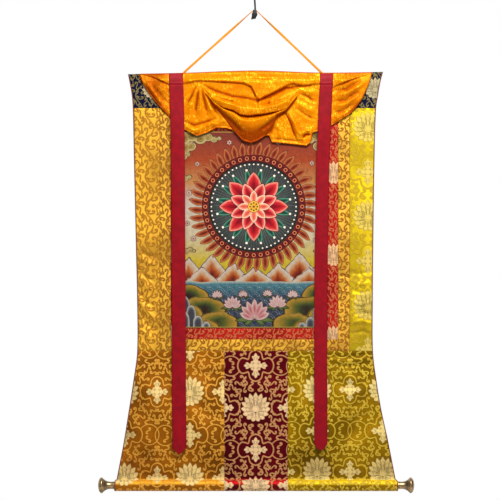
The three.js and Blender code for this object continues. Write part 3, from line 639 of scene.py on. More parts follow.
class Nodes:
    """Makes and links the nodes of one material or world; lengths given to it are in millimetres."""

    def __init__(self, owner, shader, output):
        owner.use_nodes = True
        self.owner = owner
        self.tree = owner.node_tree
        self.tree.nodes.clear()
        self.shader = self.make(shader)
        self.make(output, {"Surface": self.shader.outputs[0]})

    def put(self, socket, value):
        if isinstance(value, bpy.types.NodeSocket):
            self.tree.links.new(value, socket)
        else:
            socket.default_value = value

    def set(self, **values):
        """Sets or links the shader's own inputs."""
        for key, value in values.items():
            self.put(self.shader.inputs[key.replace("_", " ")], value)

    def make(self, kind, inputs=(), **settings):
        """A new node with its settings; inputs are values or other nodes' outputs by name or number."""
        node = self.tree.nodes.new("ShaderNode" + kind)
        for key, value in settings.items():
            setattr(node, key, value)
        for key, value in dict(inputs).items():
            self.put(node.inputs[key], value)
        return node

    def attribute(self, name):
        return self.make("Attribute", attribute_name=name).outputs["Fac"]

    def place(self, kind="Object"):
        return self.make("TexCoord").outputs[kind]

    def part(self, vector, axis):
        return self.make("SeparateXYZ", {0: vector}).outputs[axis]

    def span(self, value, low, high, to_low=0.0, to_high=1.0, easing="SMOOTHSTEP"):
        inputs = {"Value": value, "From Min": low, "From Max": high, "To Min": to_low, "To Max": to_high}
        return self.make("MapRange", inputs, interpolation_type=easing).outputs["Result"]

    def math(self, operation, a, b=0.0):
        return self.make("Math", {0: a, 1: b}, operation=operation).outputs[0]

    def mix(self, factor, a, b, blend="MIX"):
        inputs = {"Factor": factor, "A": a, "B": b}
        return self.make("Mix", inputs, data_type="RGBA", blend_type=blend).outputs["Result"]

    def noise(self, vector, scale, detail=2.0, rough=0.5):
        inputs = {"Vector": vector, "Scale": scale, "Detail": detail, "Roughness": rough}
        return self.make("TexNoise", inputs).outputs["Fac"]

    def wave(self, vector, axis, pitch, distortion=0.0):
        inputs = {"Vector": vector, "Scale": WAVE_SCALE / (pitch * MM), "Distortion": distortion}
        return self.make("TexWave", inputs, bands_direction=axis).outputs["Fac"]

    def ramp(self, value, stops):
        node = self.make("ValToRGB", {0: value})
        marks = node.color_ramp.elements
        while len(marks) < len(stops):
            marks.new(1.0)
        for mark, (position, colour) in zip(marks, stops):
            mark.position = position
            mark.color = colour
        return node.outputs["Color"]

    def bump(self, height, strength, distance):
        inputs = {"Height": height, "Strength": strength, "Distance": distance * MM}
        self.set(Normal=self.make("Bump", inputs).outputs["Normal"])

    def weave(self, pitch):
        """Height of crossed threads, from 0 to 1."""
        warp, weft = [self.wave(self.place(), axis, pitch, THREAD_WANDER) for axis in "XZ"]
        return self.math("MULTIPLY", warp, weft)


def material_nodes(name):
    return Nodes(bpy.data.materials.new(name), "BsdfPrincipled", "OutputMaterial")


LINING_LIGHT, LINING_DARK = (184, 126, 48), (148, 94, 30)


def lined(nodes, front, place):
    """The front's colour, and on the reverse a plain cotton lining with slubs and faded patches."""
    slub = nodes.math("ADD", nodes.noise(place, 260.0, 3.0, 0.7), nodes.noise(place, 6.0))
    lining = nodes.mix(nodes.span(slub, 0.75, 1.25), srgb(LINING_LIGHT), srgb(LINING_DARK))
    return nodes.mix(nodes.attribute("front"), lining, front)


# Brocade: tones multiplied in between its threads and as painted shade, then factors on its own colours.
THREAD_TONE, PAINTED_SHADE_TONE = (120, 70, 30), (136, 104, 84)
# The first factor darkens the ground in patches as painted sheen; the second lightens each vine's middle as a painted
# highlight.
SHEEN_PATCH_FACTOR, VINE_LIGHT_FACTOR, VEIN_FACTOR = 0.74, 1.12, 0.72
SHADE_BESIDE_STRENGTH = 0.45
BROCADE_THREAD = 0.9


def brocade_material(name, ground, vine, bloom, shade, hem_highlight):
    """Figured silk: a satin ground with painted shade beside its raised vines and blooms, painted sheen patches, a
    painted highlight along each vine and on the hem round the roller, and painted shade towards the hem.
    """
    nodes = material_nodes(name)
    to_vine, to_bloom = nodes.attribute("vine"), nodes.attribute("bloom")
    vine_mask = nodes.span(to_vine, 0.5, -0.5)
    bloom_mask = nodes.span(to_bloom, 0.45, -0.45)
    vein_mask = nodes.math("MULTIPLY", nodes.span(nodes.attribute("vein"), 0.4, -0.3), bloom_mask)
    figure = nodes.math("MAXIMUM", vine_mask, bloom_mask)
    place = nodes.place()
    # Painted sheen: large random patches of darker ground stand in for the satin's changing sheen; they also break up
    # the painted shade below.
    sheen_patch = nodes.noise(place, 8.0, 3.0)
    colour = nodes.mix(nodes.span(sheen_patch, 0.3, 0.7), srgb(ground), srgb(ground, SHEEN_PATCH_FACTOR))
    # Painted shade: the ground darkens towards the shade colour beside the raised vines and blooms.
    beside = nodes.span(nodes.math("MINIMUM", to_vine, to_bloom), 2.0, 0.2, 0.0, SHADE_BESIDE_STRENGTH)
    colour = nodes.mix(beside, colour, srgb(shade))
    # Painted highlight: the ground turns to a brighter colour on the hem round the roller.
    colour = nodes.mix(nodes.attribute("hem_highlight"), colour, srgb(hem_highlight))
    # Painted highlight: each vine is lighter along its middle, as if lit on its raised crest.
    lit = nodes.mix(nodes.span(to_vine, -0.4, -1.7, 0.0, 0.6), srgb(vine), srgb(vine, VINE_LIGHT_FACTOR))
    colour = nodes.mix(vine_mask, colour, lit)
    colour = nodes.mix(bloom_mask, colour, srgb(bloom))
    colour = nodes.mix(vein_mask, colour, srgb(bloom, VEIN_FACTOR))
    thread = nodes.span(nodes.noise(place, 900.0, 1.0), 0.25, 0.75, 0.0, 0.2)
    colour = nodes.mix(thread, colour, srgb(THREAD_TONE), "MULTIPLY")
    # Painted shade: darker towards the hem and in listed patches, broken up by the sheen patches.
    painted_shade = nodes.math("MULTIPLY", nodes.attribute("painted_shade"), nodes.span(sheen_patch, 0.35, 0.62, 0.1, 0.5))
    colour = nodes.mix(painted_shade, colour, srgb(PAINTED_SHADE_TONE), "MULTIPLY")
    nodes.set(Base_Color=lined(nodes, colour, place), Metallic=nodes.span(figure, 0, 1, 0.5, 0.18),
              Roughness=nodes.span(figure, 0, 1, 0.4, 0.5), Specular_IOR_Level=0.05)
    height = nodes.math("ADD", nodes.math("MULTIPLY", figure, 2.0), nodes.weave(BROCADE_THREAD))
    nodes.bump(height, strength=0.5, distance=0.4)
    return nodes.owner


def silk_material(name, main, light, deep, shadow):
    """Thin damask silk: flecked tone on tone figures, a soft lustre, and painted shade in its hollows and other shaded
    places.
    """
    nodes = material_nodes(name)
    place = nodes.place()
    nearest = nodes.math("MINIMUM", nodes.attribute("vine"), nodes.attribute("bloom"))
    figure = nodes.span(nearest, 0.25, -0.25)
    fleck = nodes.noise(place, 420.0, 4.0, 0.65)
    wear = nodes.span(nodes.noise(place, 40.0), 0.35, 0.6)
    shown = nodes.math("MULTIPLY", figure, nodes.math("MULTIPLY", nodes.span(fleck, 0.4, 0.62), wear))
    colour = nodes.mix(nodes.span(nodes.noise(place, 22.0, 3.0), 0.35, 0.7), srgb(main), srgb(deep))
    colour = nodes.mix(shown, colour, srgb(light))
    # Painted shade: the shadow colour is mixed in where the veil's shade field is high.
    colour = nodes.mix(nodes.span(nodes.attribute("hollow"), 0.2, 3.0, 0.0, 0.9), colour, srgb(shadow))
    nodes.set(Base_Color=colour, Metallic=0.22, Roughness=nodes.span(figure, 0, 1, 0.44, 0.36),
              Specular_IOR_Level=0.03)
    nodes.bump(nodes.math("ADD", nodes.weave(VEIL_THREAD), fleck), strength=0.2, distance=0.3)
    return nodes.owner


VEIL_THREAD = 0.6
RIBBON_THREAD = 0.7
CRIMSON_LIGHT, CRIMSON_DARK, CRIMSON_EDGE_SHADE, CRIMSON_STITCH = (138, 5, 20), (122, 4, 18), (96, 8, 24), (120, 10, 28)
STITCH_LENGTH, STITCH_PLACE = 3.0, 0.88


def ribbon_material():
    """Plain crimson silk with painted shade along its curled, turned edges and a row of stitches in each."""
    nodes = material_nodes("crimson_silk")
    across = nodes.math("ABSOLUTE", nodes.attribute("across"))
    place = nodes.place()
    streak = nodes.span(nodes.noise(place, 60.0, 3.0), 0.3, 0.7)
    colour = nodes.mix(streak, srgb(CRIMSON_LIGHT), srgb(CRIMSON_DARK))
    # Painted shade along both edges, where the ribbon curls back.
    colour = nodes.mix(nodes.span(across, 0.86, 0.98, 0.0, 0.45), colour, srgb(CRIMSON_EDGE_SHADE))
    from_row = nodes.math("ABSOLUTE", nodes.math("SUBTRACT", across, STITCH_PLACE))
    dashes = nodes.span(nodes.wave(place, "Z", STITCH_LENGTH), 0.3, 0.6)
    stitch = nodes.math("MULTIPLY", nodes.span(from_row, 0.03, 0.0), dashes)
    colour = nodes.mix(nodes.math("MULTIPLY", stitch, 0.5), colour, srgb(CRIMSON_STITCH))
    nodes.set(Base_Color=colour, Metallic=0.1, Roughness=0.5, Specular_IOR_Level=0.12)
    nodes.bump(nodes.math("ADD", nodes.weave(RIBBON_THREAD), stitch), strength=0.2, distance=0.3)
    return nodes.owner


PIPING_LIGHT, PIPING_DARK, PIPING_TWIST = (120, 44, 30), (84, 22, 20), 2.2


def piping_material():
    """Dark red silk twisted round a cord."""
    nodes = material_nodes("piping_silk")
    twist = nodes.span(nodes.wave(nodes.place(), "DIAGONAL", PIPING_TWIST, 0.4), 0.2, 0.8)
    colour = nodes.mix(twist, srgb(PIPING_LIGHT), srgb(PIPING_DARK))
    nodes.set(Base_Color=colour, Roughness=0.6, Sheen_Weight=0.2)
    nodes.bump(twist, strength=0.3, distance=0.3)
    return nodes.owner


CORD_DARK, CORD_LIGHT = (190, 100, 2), (232, 150, 14)
PLAIT_ALONG, PLAIT_ACROSS = 2.6, 2.4


def cord_material():
    """Orange silk plaited from two crossing sets of strands."""
    nodes = material_nodes("cord_silk")
    along = nodes.math("MULTIPLY", nodes.attribute("along"), PLAIT_ALONG)
    across = nodes.math("MULTIPLY", nodes.attribute("across"), PLAIT_ACROSS)
    one, other = [nodes.math("SINE", nodes.math(way, along, across)) for way in ("ADD", "SUBTRACT")]
    plait = nodes.span(nodes.math("MULTIPLY", one, other), -0.8, 0.8)
    colour = nodes.mix(plait, srgb(CORD_DARK), srgb(CORD_LIGHT))
    nodes.set(Base_Color=colour, Roughness=0.6, Specular_IOR_Level=0.1)
    nodes.bump(plait, strength=0.4, distance=0.4)
    return nodes.owner


BRASS_BRIGHT, BRASS_DIRT = (164, 138, 100), (50, 37, 26)
HOLLOW_START, HOLLOW_FULL, HOLLOW_FADE, HOLLOW_END = 14.0, 26.0, 28.0, 33.0


def brass_material():
    """Old brass with patches of patina, and dirt where the bell flares."""
    nodes = material_nodes("antique_brass")
    place, along = nodes.place(), nodes.attribute("along")
    patina = nodes.noise(place, 90.0, 5.0, 0.6)
    in_hollow = nodes.math("MULTIPLY", nodes.span(along, HOLLOW_START, HOLLOW_FULL),
                           nodes.span(along, HOLLOW_END, HOLLOW_FADE))
    dirt = nodes.math("MAXIMUM", nodes.span(patina, 0.5, 0.75), nodes.math("MULTIPLY", in_hollow, 0.55))
    colour = nodes.mix(dirt, srgb(BRASS_BRIGHT), srgb(BRASS_DIRT))
    nodes.set(Base_Color=colour, Metallic=1.0, Roughness=nodes.span(patina, 0.3, 0.8, 0.28, 0.5))
    nodes.bump(nodes.noise(place, 420.0), strength=0.12, distance=0.4)
    return nodes.owner


IRON_DARK, IRON_WORN = (14, 14, 13), (40, 38, 34)


def iron_material():
    nodes = material_nodes("black_iron")
    place = nodes.place()
    wear = nodes.noise(place, 160.0, 4.0, 0.6)
    colour = nodes.mix(nodes.span(wear, 0.45, 0.75), srgb(IRON_DARK), srgb(IRON_WORN))
    nodes.set(Base_Color=colour, Metallic=0.4, Roughness=nodes.span(wear, 0.3, 0.8, 0.38, 0.6),
              Specular_IOR_Level=0.2)
    nodes.bump(nodes.noise(place, 700.0), strength=0.15, distance=0.3)
    return nodes.owner


WOOD_LIGHT, WOOD_DARK, WOOD_GRAIN = (150, 104, 62), (112, 72, 40), (96, 60, 34)
WOOD_RING = 13.09


def wood_material():
    nodes = material_nodes("roller_wood")
    rings = nodes.wave(nodes.place(), "Z", WOOD_RING, 5.0)
    grain = nodes.noise(nodes.place(), 240.0, 3.0)
    colour = nodes.mix(nodes.span(rings, 0.2, 0.8), srgb(WOOD_LIGHT), srgb(WOOD_DARK))
    nodes.set(Base_Color=nodes.mix(nodes.span(grain, 0.4, 0.6), colour, srgb(WOOD_GRAIN)), Roughness=0.65)
    nodes.bump(grain, strength=0.2, distance=0.3)
    return nodes.owner


# The camera comes first, then the cord.
PHOTO_CENTRE = (-11.8, -665.5)
VIEW_WIDTH = 1310.0
VIEW_DISTANCE = 5000.0


def add_camera():
    data = bpy.data.cameras.new("camera")
    data.sensor_width = 36.0
    data.lens = 36.0 * VIEW_DISTANCE / VIEW_WIDTH
    data.clip_end = 100.0
    camera = bpy.data.objects.new("camera", data)
    x, z = PHOTO_CENTRE
    camera.location = (x * MM, (CLOTH_DEPTH - VIEW_DISTANCE) * MM, z * MM)
    camera.rotation_euler = (math.pi / 2, 0.0, 0.0)
    bpy.context.scene.collection.objects.link(camera)
    bpy.context.scene.camera = camera


def finish_piece(obj, material, node):
    obj.data.materials.append(material)
    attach(obj, "root")
    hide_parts(node)


# The hanging cord is a flat plaited tape that turns on edge over the hook: across, level.
CORD_ROUTE = [
    (-190.5, -224), (-190.2, -214), (-188, -205), (-182.5, -198), (-170, -186.6), (-145, -164.2),
    (-115, -137.3),
    (-85, -110.4), (-55, -83.5), (-30, -61.1), (-14, -46.7), (-6.8, -40.4), (0.3, -37.5), (7.6, -40.5),
    (14.5, -47), (30, -61.8), (55, -85.7), (85, -114.3), (115, -143), (145, -171.6), (162, -187.8),
    (173.5, -198.8), (178.6, -206), (180.6, -214), (180.8, -224),
]
CORD_DEPTH = 3.4
TAPE_WIDTH = 6.0
TAPE_THICKNESS = 2.4


def add_cord():
    line = rounded_line(CORD_ROUTE, 16)
    steps = np.concatenate([[0.0], np.cumsum(np.linalg.norm(np.diff(line, axis=0), axis=1))])
    even = np.linspace(0, steps[-1], 380)
    x = np.interp(even, steps, line[:, 0])
    z = np.interp(even, steps, line[:, 1])
    centres = np.stack([x, np.full_like(x, CLOTH_DEPTH + CORD_DEPTH), z], axis=1)
    tangent = np.gradient(centres, axis=0)
    tangent /= np.linalg.norm(tangent, axis=1, keepdims=True)
    depth = np.tile((0.0, 1.0, 0.0), (len(x), 1))
    level = np.cross(depth, tangent)
    from_top = np.abs(even - even[np.argmax(z)])
    turn = (math.pi / 2 * (1 - smooth((from_top - 12.0) / 80.0))
            + 0.35 * np.sin(from_top / 34.0) * smooth((from_top - 30.0) / 60.0))[:, None]
    wide = level * np.cos(turn) + depth * np.sin(turn)
    thin = np.cross(wide, tangent)
    section = oval_section(TAPE_WIDTH / 2, TAPE_THICKNESS / 2, 16)
    fields = {"along": np.repeat(even, len(section)), "across": np.tile(section[:, 0], len(even))}
    obj = ring_tube("hanging_cord_tape", centres, (wide, thin), section, fields)
    finish_piece(obj, cord_material(), "hanging_cord")


add_camera()
add_cord()

# Flat panels.
FRONT_CELL = 1.5
SEAM_ROLL = 0.7
SEAM_ROLL_REACH = 2.4


def seam_roll(distance):
    """How far a panel's front falls back at its sewn edge."""
    return SEAM_ROLL * np.exp(-(distance / SEAM_ROLL_REACH) ** 2)


def cells(length, multiple=4):
    """Number of cells along a length, a multiple of the back's coarseness."""
    return max(multiple, int(round(length / FRONT_CELL / multiple)) * multiple)


def panel_points(left, right, top, bottom, width, height):
    """Front grid of a panel between two side lines and two levels, following the cloth, rolled at its seams."""
    columns, rows = cells(width), cells(height)
    u, v = np.meshgrid(np.linspace(0, 1, columns + 1), np.linspace(0, 1, rows + 1))
    x = lerp(left(np.full_like(u, bottom)), right(np.full_like(u, bottom)), u)
    z = lerp(top(x), bottom, v)
    for _ in range(4):
        x = lerp(left(z), right(z), u)
        z = lerp(top(x), bottom, v)
    edge = np.minimum(np.minimum(x - left(z), right(z) - x), np.minimum(top(x) - z, z - bottom))
    forward = cloth_forward(x, z) + PANEL_THICKNESS / 2 - seam_roll(edge)
    return np.stack([x, CLOTH_DEPTH - forward, z], axis=-1)


# Painted shade, darker above the hem and in patches, less where the amount is below 0: across, level, reach across,
# reach down, amount.
SHADE_TOP, SHADE_FADE = -1130.0, 110.0
SHADE_END, SHADE_FADE_OUT = -1266.0, 18.0
SHADE_PATCHES = [
    (-335, -1190, 75, 120, 1.3), (-300, -1060, 30, 60, 0.5), (252, -1120, 34, 60, 1.0),
    (296, -1080, 26, 50, 0.8),
    (215, -1010, 22, 40, 0.6), (120, -1180, 40, 60, 0.5), (292, -820, 50, 90, 0.7),
    (4, -1200, 70, 100, -1.2),
]


def cloth_painted_shade(x, z):
    """How much painted shade darkens the cloth, from 0."""
    painted_shade = smooth((SHADE_TOP - z) / SHADE_FADE)
    for patch_x, patch_z, across, down, amount in SHADE_PATCHES:
        painted_shade = painted_shade + amount * bell(x - patch_x, across) * bell(z - patch_z, down)
    return np.maximum(painted_shade, 0.0) * smooth((z - SHADE_END) / SHADE_FADE_OUT)


def pattern(repeat, scale, origin, stretch=1.0):
    """A repeat's fields as a function of the place on the cloth."""
    return lambda x, z: repeat.read(x, z, scale, origin, stretch)


def steady(value):
    return lambda at: np.full(np.shape(at), float(value))


def left_panel_edge(z):
    return left_edge(z) + BINDING_WIDTH


def right_panel_edge(z):
    return right_edge(z) - BINDING_WIDTH


def add_panel(node, left, right, top, bottom, material, fields_at):
    """One sewn panel: its cloth and its pattern, made as a closed sheet."""
    middle = (top(np.array(0.0)) + bottom) / 2
    width = float(right(np.array(middle)) - left(np.array(middle)))
    height = float(top(np.array(0.0)) - bottom)
    points = panel_points(left, right, top, bottom, width, height)
    x, z = points[..., 0], points[..., 2]
    fields = fields_at(x, z)
    # Painted shade towards the hem and in patches.
    fields["painted_shade"] = cloth_painted_shade(x, z)
    # No painted highlight on the flat panels.
    fields["hem_highlight"] = np.zeros_like(x)
    obj = sheet_object(node + "_cloth", points, PANEL_THICKNESS, fields)
    finish_piece(obj, material, node)
    return obj


# Colourways: name, ground, vine, bloom, painted shade beside the figures, ground as a painted highlight on the hem
# round the roller.
COLOURWAYS = [
    ("navy_brocade", (14, 17, 46), (116, 102, 64), (176, 162, 122), (8, 10, 26), (14, 17, 46)),
    ("gold_side_brocade", (246, 182, 56), (158, 106, 30), (216, 166, 70), (160, 104, 20), (246, 182, 56)),
    ("yellow_side_brocade", (234, 200, 30), (178, 146, 34), (216, 188, 84), (150, 118, 14), (234, 200, 30)),
    ("gold_strip_brocade", (255, 192, 66), (140, 88, 24), (204, 156, 78), (154, 96, 20), (255, 192, 66)),
    ("red_strip_brocade", (190, 34, 28), (184, 96, 58), (220, 172, 124), (140, 24, 20), (190, 34, 28)),
    ("ochre_brocade", (168, 98, 14), (204, 144, 50), (234, 200, 126), (104, 56, 8), (242, 168, 44)),
    ("maroon_brocade", (96, 6, 18), (176, 124, 78), (224, 188, 138), (60, 4, 12), (196, 26, 30)),
    ("olive_brocade", (156, 116, 6), (192, 160, 46), (228, 202, 122), (98, 72, 4), (242, 202, 34)),
]
navy, gold_left, yellow_right, gold_strip, red_strip, ochre, maroon, olive = [
    brocade_material(*colourway) for colourway in COLOURWAYS]

add_panel("heading_band", left_panel_edge, right_panel_edge, top_edge, HEADING_SEAM, navy,
          pattern(LOTUSES, 0.74, (316.0, -243.0)))
add_panel("side_panel_left", left_panel_edge, steady(-GOLD_HALF), steady(HEADING_SEAM), SKIRT_SEAM, gold_left,
          pattern(SCROLLS, 0.92, (-290.0, -452.0)))
add_panel("side_panel_right", steady(GOLD_HALF), right_panel_edge, steady(HEADING_SEAM), SKIRT_SEAM, yellow_right,
          pattern(FULL, 1.06, (297.0, -461.0)))


def add_border(name, inner, outer, top, bottom, width, material, repeats):
    """Four strips round a rectangle; the upright ones run its full height."""
    add_panel(name + "_left", steady(-outer), steady(-inner), steady(top), bottom, material, repeats[0])
    add_panel(name + "_right", steady(inner), steady(outer), steady(top), bottom, material, repeats[1])
    add_panel(name + "_top", steady(-inner), steady(inner), steady(top), top - width, material, repeats[2])
    add_panel(name + "_bottom", steady(-inner), steady(inner), steady(bottom + width), bottom, material,
              repeats[3])


add_border("gold_border", RED_HALF, GOLD_HALF, HEADING_SEAM, SKIRT_SEAM, GOLD_HALF - RED_HALF, gold_strip,
           [pattern(SCROLLS, 0.86, place) for place in
                            ((-236.0, -420.0), (262.0, -480.0), (0.0, -400.0), (-72.0, -918.0))])
add_border("red_border", PAINTING_HALF, RED_HALF, RED_TOP, RED_BOTTOM, RED_HALF - PAINTING_HALF, red_strip,
           [pattern(LOTUSES, 0.78, (-206.0, -460.0)), pattern(LOTUSES, 0.78, (207.0, -464.0)),
                           pattern(SCROLLS, 0.78, (40.0, -338.0)), pattern(SCROLLS, 0.78, (-8.0, -886.0))])

# The skirt: three panels that hang from the seam and end in a hem round the roller.
CREASE_LEVEL = ROLLER_AXIS + math.sqrt((HEM_RADIUS + CREASE_RADIUS) ** 2 - CREASE_RADIUS ** 2)
HEM_START_ANGLE = math.atan2(CREASE_LEVEL - ROLLER_AXIS, -CREASE_RADIUS)
HEM_CELL = 2.0
# Painted highlight on the hem round the roller: where it starts and ends, measured down the cloth, and how far it
# fades.
HEM_HIGHLIGHT_TOP, HEM_HIGHLIGHT_END, HEM_HIGHLIGHT_FADE = -1262.0, -1300.0, 8.0


def hem_turns(end_angle):
    """Angles turned below the crease, close together in it and even round the roller."""
    crease = np.linspace(0, HEM_START_ANGLE, 6)[1:]
    turn = end_angle - HEM_START_ANGLE
    count = int(turn * HEM_RADIUS / HEM_CELL)
    return np.concatenate([crease, HEM_START_ANGLE + turn * np.linspace(0, 1, count + 1)[1:]])


def hem_depth_and_level(turned, outward):
    """Depth and level of the hem's front, outward of the cloth's middle line."""
    crease_radius = CREASE_RADIUS - outward
    hem_radius = HEM_RADIUS + outward
    in_crease = turned < HEM_START_ANGLE
    y = np.where(in_crease, -CREASE_RADIUS + crease_radius * np.cos(turned), hem_radius * np.cos(turned))
    z = np.where(in_crease, CREASE_LEVEL - crease_radius * np.sin(turned),
                 ROLLER_AXIS + hem_radius * np.sin(turned))
    return y, z


def hem_flare(turned):
    return HEM_FLARE * smooth(turned / math.pi)


def hanging_points(left, right, top, columns, end_angle, outward, roll_edges):
    """Front grid of cloth from a seam down to the crease and round the roller; also the length down the cloth."""
    flat_rows = cells(top - CREASE_LEVEL)
    turns = hem_turns(end_angle)
    levels = np.concatenate([np.linspace(top, CREASE_LEVEL, flat_rows + 1), np.full(len(turns), CREASE_LEVEL)])
    turned = np.concatenate([np.zeros(flat_rows + 1), turns])
    u, level = np.meshgrid(np.linspace(0, 1, columns + 1), levels)
    turned_grid = np.repeat(turned[:, None], columns + 1, axis=1)
    x_left = left(level) - (hem_flare(turned_grid) if roll_edges[0] == "free" else 0.0)
    x_right = right(level) + (hem_flare(turned_grid) if roll_edges[1] == "free" else 0.0)
    x = lerp(x_left, x_right, u)
    y_hem, z_hem = hem_depth_and_level(turned_grid, outward)
    below = turned_grid > 0
    edge = np.minimum(np.minimum(x - x_left, x_right - x), np.where(below, FAR, top - level))
    forward = cloth_forward(x, level) + outward - np.where(below, 0.0, seam_roll(edge))
    y = np.where(below, y_hem, -forward)
    z = np.where(below, z_hem, level)
    down = np.where(below, level - HEM_RADIUS * np.maximum(turned_grid - 0.6, 0.0), level)
    return np.stack([x, CLOTH_DEPTH + y, z], axis=-1), down


def add_skirt(node, left, right, edges, material, fields_at, flat):
    columns = cells(flat[0])
    points, down = hanging_points(left, right, SKIRT_SEAM, columns, HEM_END_ANGLE, PANEL_THICKNESS / 2, edges)
    fields = fields_at(points[..., 0], down)
    # Painted highlight on the hem round the roller.
    fields["hem_highlight"] = smooth((HEM_HIGHLIGHT_TOP - down) / HEM_HIGHLIGHT_FADE) * smooth((down - HEM_HIGHLIGHT_END) / HEM_HIGHLIGHT_FADE)
    # Painted shade towards the hem and in patches.
    fields["painted_shade"] = cloth_painted_shade(points[..., 0], down)
    obj = sheet_object(node + "_cloth", points, PANEL_THICKNESS, fields)
    finish_piece(obj, material, node)


HEM_GIRTH = 90.0
SKIRT_DROP = SKIRT_SEAM - CREASE_LEVEL + HEM_GIRTH
add_skirt("skirt_left", left_panel_edge, steady(SKIRT_LEFT_SEAM), ("free", "sewn"), ochre,
          pattern(FULL, 1.0, (-169.0, -1150.0), 1.03), (250.0, SKIRT_DROP))
add_skirt("skirt_centre", steady(SKIRT_LEFT_SEAM), steady(SKIRT_RIGHT_SEAM), ("sewn", "sewn"), maroon,
          pattern(FULL, 1.0, (3.0, -968.5)), (166.0, SKIRT_DROP))
add_skirt("skirt_right", steady(SKIRT_RIGHT_SEAM), right_panel_edge, ("sewn", "free"), olive,
          pattern(FULL, 1.0, (164.0, -1139.0), 0.98), (250.0, SKIRT_DROP))


# Piping along the outer edges.
BINDING_END_ANGLE = math.radians(265)


def add_binding(node, edge, side):
    """A round piping that follows one outer edge from the top corner to the underside of the roller."""
    corner_x = float(edge(np.array(-200.0)))
    top = float(top_edge(np.array(corner_x)))
    turns = hem_turns(BINDING_END_ANGLE)
    levels = np.concatenate([np.linspace(top, CREASE_LEVEL, 320), np.full(len(turns), CREASE_LEVEL)])
    turned = np.concatenate([np.zeros(320), turns])
    x = edge(levels) + side * (hem_flare(turned) - BINDING_WIDTH / 2)
    y_hem, z_hem = hem_depth_and_level(turned, 0.0)
    below = turned > 0
    y = np.where(below, y_hem, -cloth_forward(x, levels))
    z = np.where(below, z_hem, levels)
    centres = np.stack([x, CLOTH_DEPTH + y, z], axis=1)
    forward = np.gradient(centres, axis=0)
    forward /= np.linalg.norm(forward, axis=1, keepdims=True)
    first = np.tile((1.0, 0.0, 0.0), (len(x), 1))
    second = np.cross(forward, first)
    second /= np.linalg.norm(second, axis=1, keepdims=True)
    section = oval_section(BINDING_WIDTH / 2, 1.3)
    obj = ring_tube(node + "_piping", centres, (first, second), section, {})
    finish_piece(obj, PIPING, node)


PIPING = piping_material()
add_binding("binding_left", left_edge, -1)
add_binding("binding_right", right_edge, 1)

# Ribbons: level, across, forward of the cloth's middle.
RIBBON_LEFT = np.array([
    (-203, -205.5, 4.7), (-214, -205.3, 8.6), (-229, -205, 10.2), (-262, -203.8, 10.8), (-330, -202, 11.5),
    (-460, -200, 9.5), (-666, -199.5, 8), (-860, -197.8, 9), (-1010, -197.5, 13), (-1120, -196.5, 14),
    (-1202, -196.8, 13),
])
RIBBON_RIGHT = np.array([
    (-203.5, 188.5, 4.7), (-214, 188.3, 8.6), (-229, 188, 10.2), (-262, 186, 10.8), (-330, 183, 11.5),
    (-460, 178.5, 9.5), (-666, 174.6, 8), (-860, 173, 9), (-1010, 172.8, 13), (-1120, 173, 14),
    (-1202, 173, 13),
])
RIBBON_SEAM = -229.5


def add_ribbon(node, route, width, shoulder, tip, tip_shape, seed):
    """A hanging ribbon with a pointed end, slightly cupped, with a sewn cross seam near its top."""
    columns, rows = 28, 520
    u, v = np.meshgrid(np.linspace(-1, 1, columns + 1), np.linspace(0, 1, rows + 1))
    end = shoulder + (tip - shoulder) * (1.0 - np.abs(u) ** tip_shape)
    z = lerp(route[0, 0], end, v)
    wander = 0.5 * value_noise(z / 120.0, np.full_like(z, seed), seed)
    x = smooth_table(route[:, 0], route[:, 1], z) + wander + u * width / 2
    forward = smooth_table(route[:, 0], route[:, 2], z) + RIBBON_THICKNESS / 2
    away = smooth((RIBBON_SEAM - 20.0 - z) / 80.0)
    forward += away * (0.9 * value_noise(z / 90.0, u * 0.7 + seed, seed + 2) + 0.9 * (1.0 - u * u) - 0.4)
    forward += 0.9 * np.exp(-((z - RIBBON_SEAM) / 1.6) ** 2) - 0.5 * np.exp(-((z - RIBBON_SEAM + 3.4) / 1.4) ** 2)
    forward -= 0.35 * smooth((np.abs(u) - 0.9) / 0.1)
    points = np.stack([x, CLOTH_DEPTH - forward, z], axis=-1)
    obj = sheet_object(node + "_silk", points, RIBBON_THICKNESS, {"across": u})
    finish_piece(obj, CRIMSON, node)


CRIMSON = ribbon_material()
add_ribbon("ribbon_left", RIBBON_LEFT, 37.0, -1183.0, -1200.5, 1.0, 1.0)
add_ribbon("ribbon_right", RIBBON_RIGHT, 34.4, -1172.0, -1189.0, 1.7, 5.0)

# The veil: drops are measured down from this level.
VEIL_LEVEL = -200.0
VEIL_REST = 2.3
VEIL_STRIP = 24.0
VEIL_HEM = np.array([
    (-302, 6), (-292, 30), (-272, 62), (-250, 88), (-224, 116), (-186, 150), (-151, 168), (-124, 159),
    (-101, 146),
    (-74, 147), (-58, 151), (-46, 164), (-30, 180), (-10, 186), (6, 181), (27, 168), (38, 166),
    (46, 184), (82, 187),
    (136, 193), (147, 184), (152, 159), (180, 151), (203, 139), (227, 125), (249, 111), (267, 91), (282, 70),
    (297, 38), (307, 6),
])
BAND_EDGE = np.array([
    (-302, 6), (-270, 13), (-221, 35), (-185, 31), (-146, 24), (-108, 26), (-64, 28), (-27, 31),
    (-8, 40), (0, 56),
    (6, 70), (12, 73), (40, 60), (76, 41), (99, 31), (127, 37), (169, 32), (204, 41), (250, 23), (307, 4),
])
ROLL_TOP = np.array([(-146, 27), (-140, 31), (-100, 51), (-59, 64), (-18, 69), (9, 76), (45, 62), (81, 44), (121, 38),
                     (128, 39)])
ROLL_CREASE = np.array([
    (-146, 28), (-131, 45), (-106, 78), (-82, 94), (-55, 101), (-37, 112), (-18, 114.5), (18, 111),
    (54, 105.5),
    (81, 98.5), (99, 72), (124, 42), (128, 39.5),
])
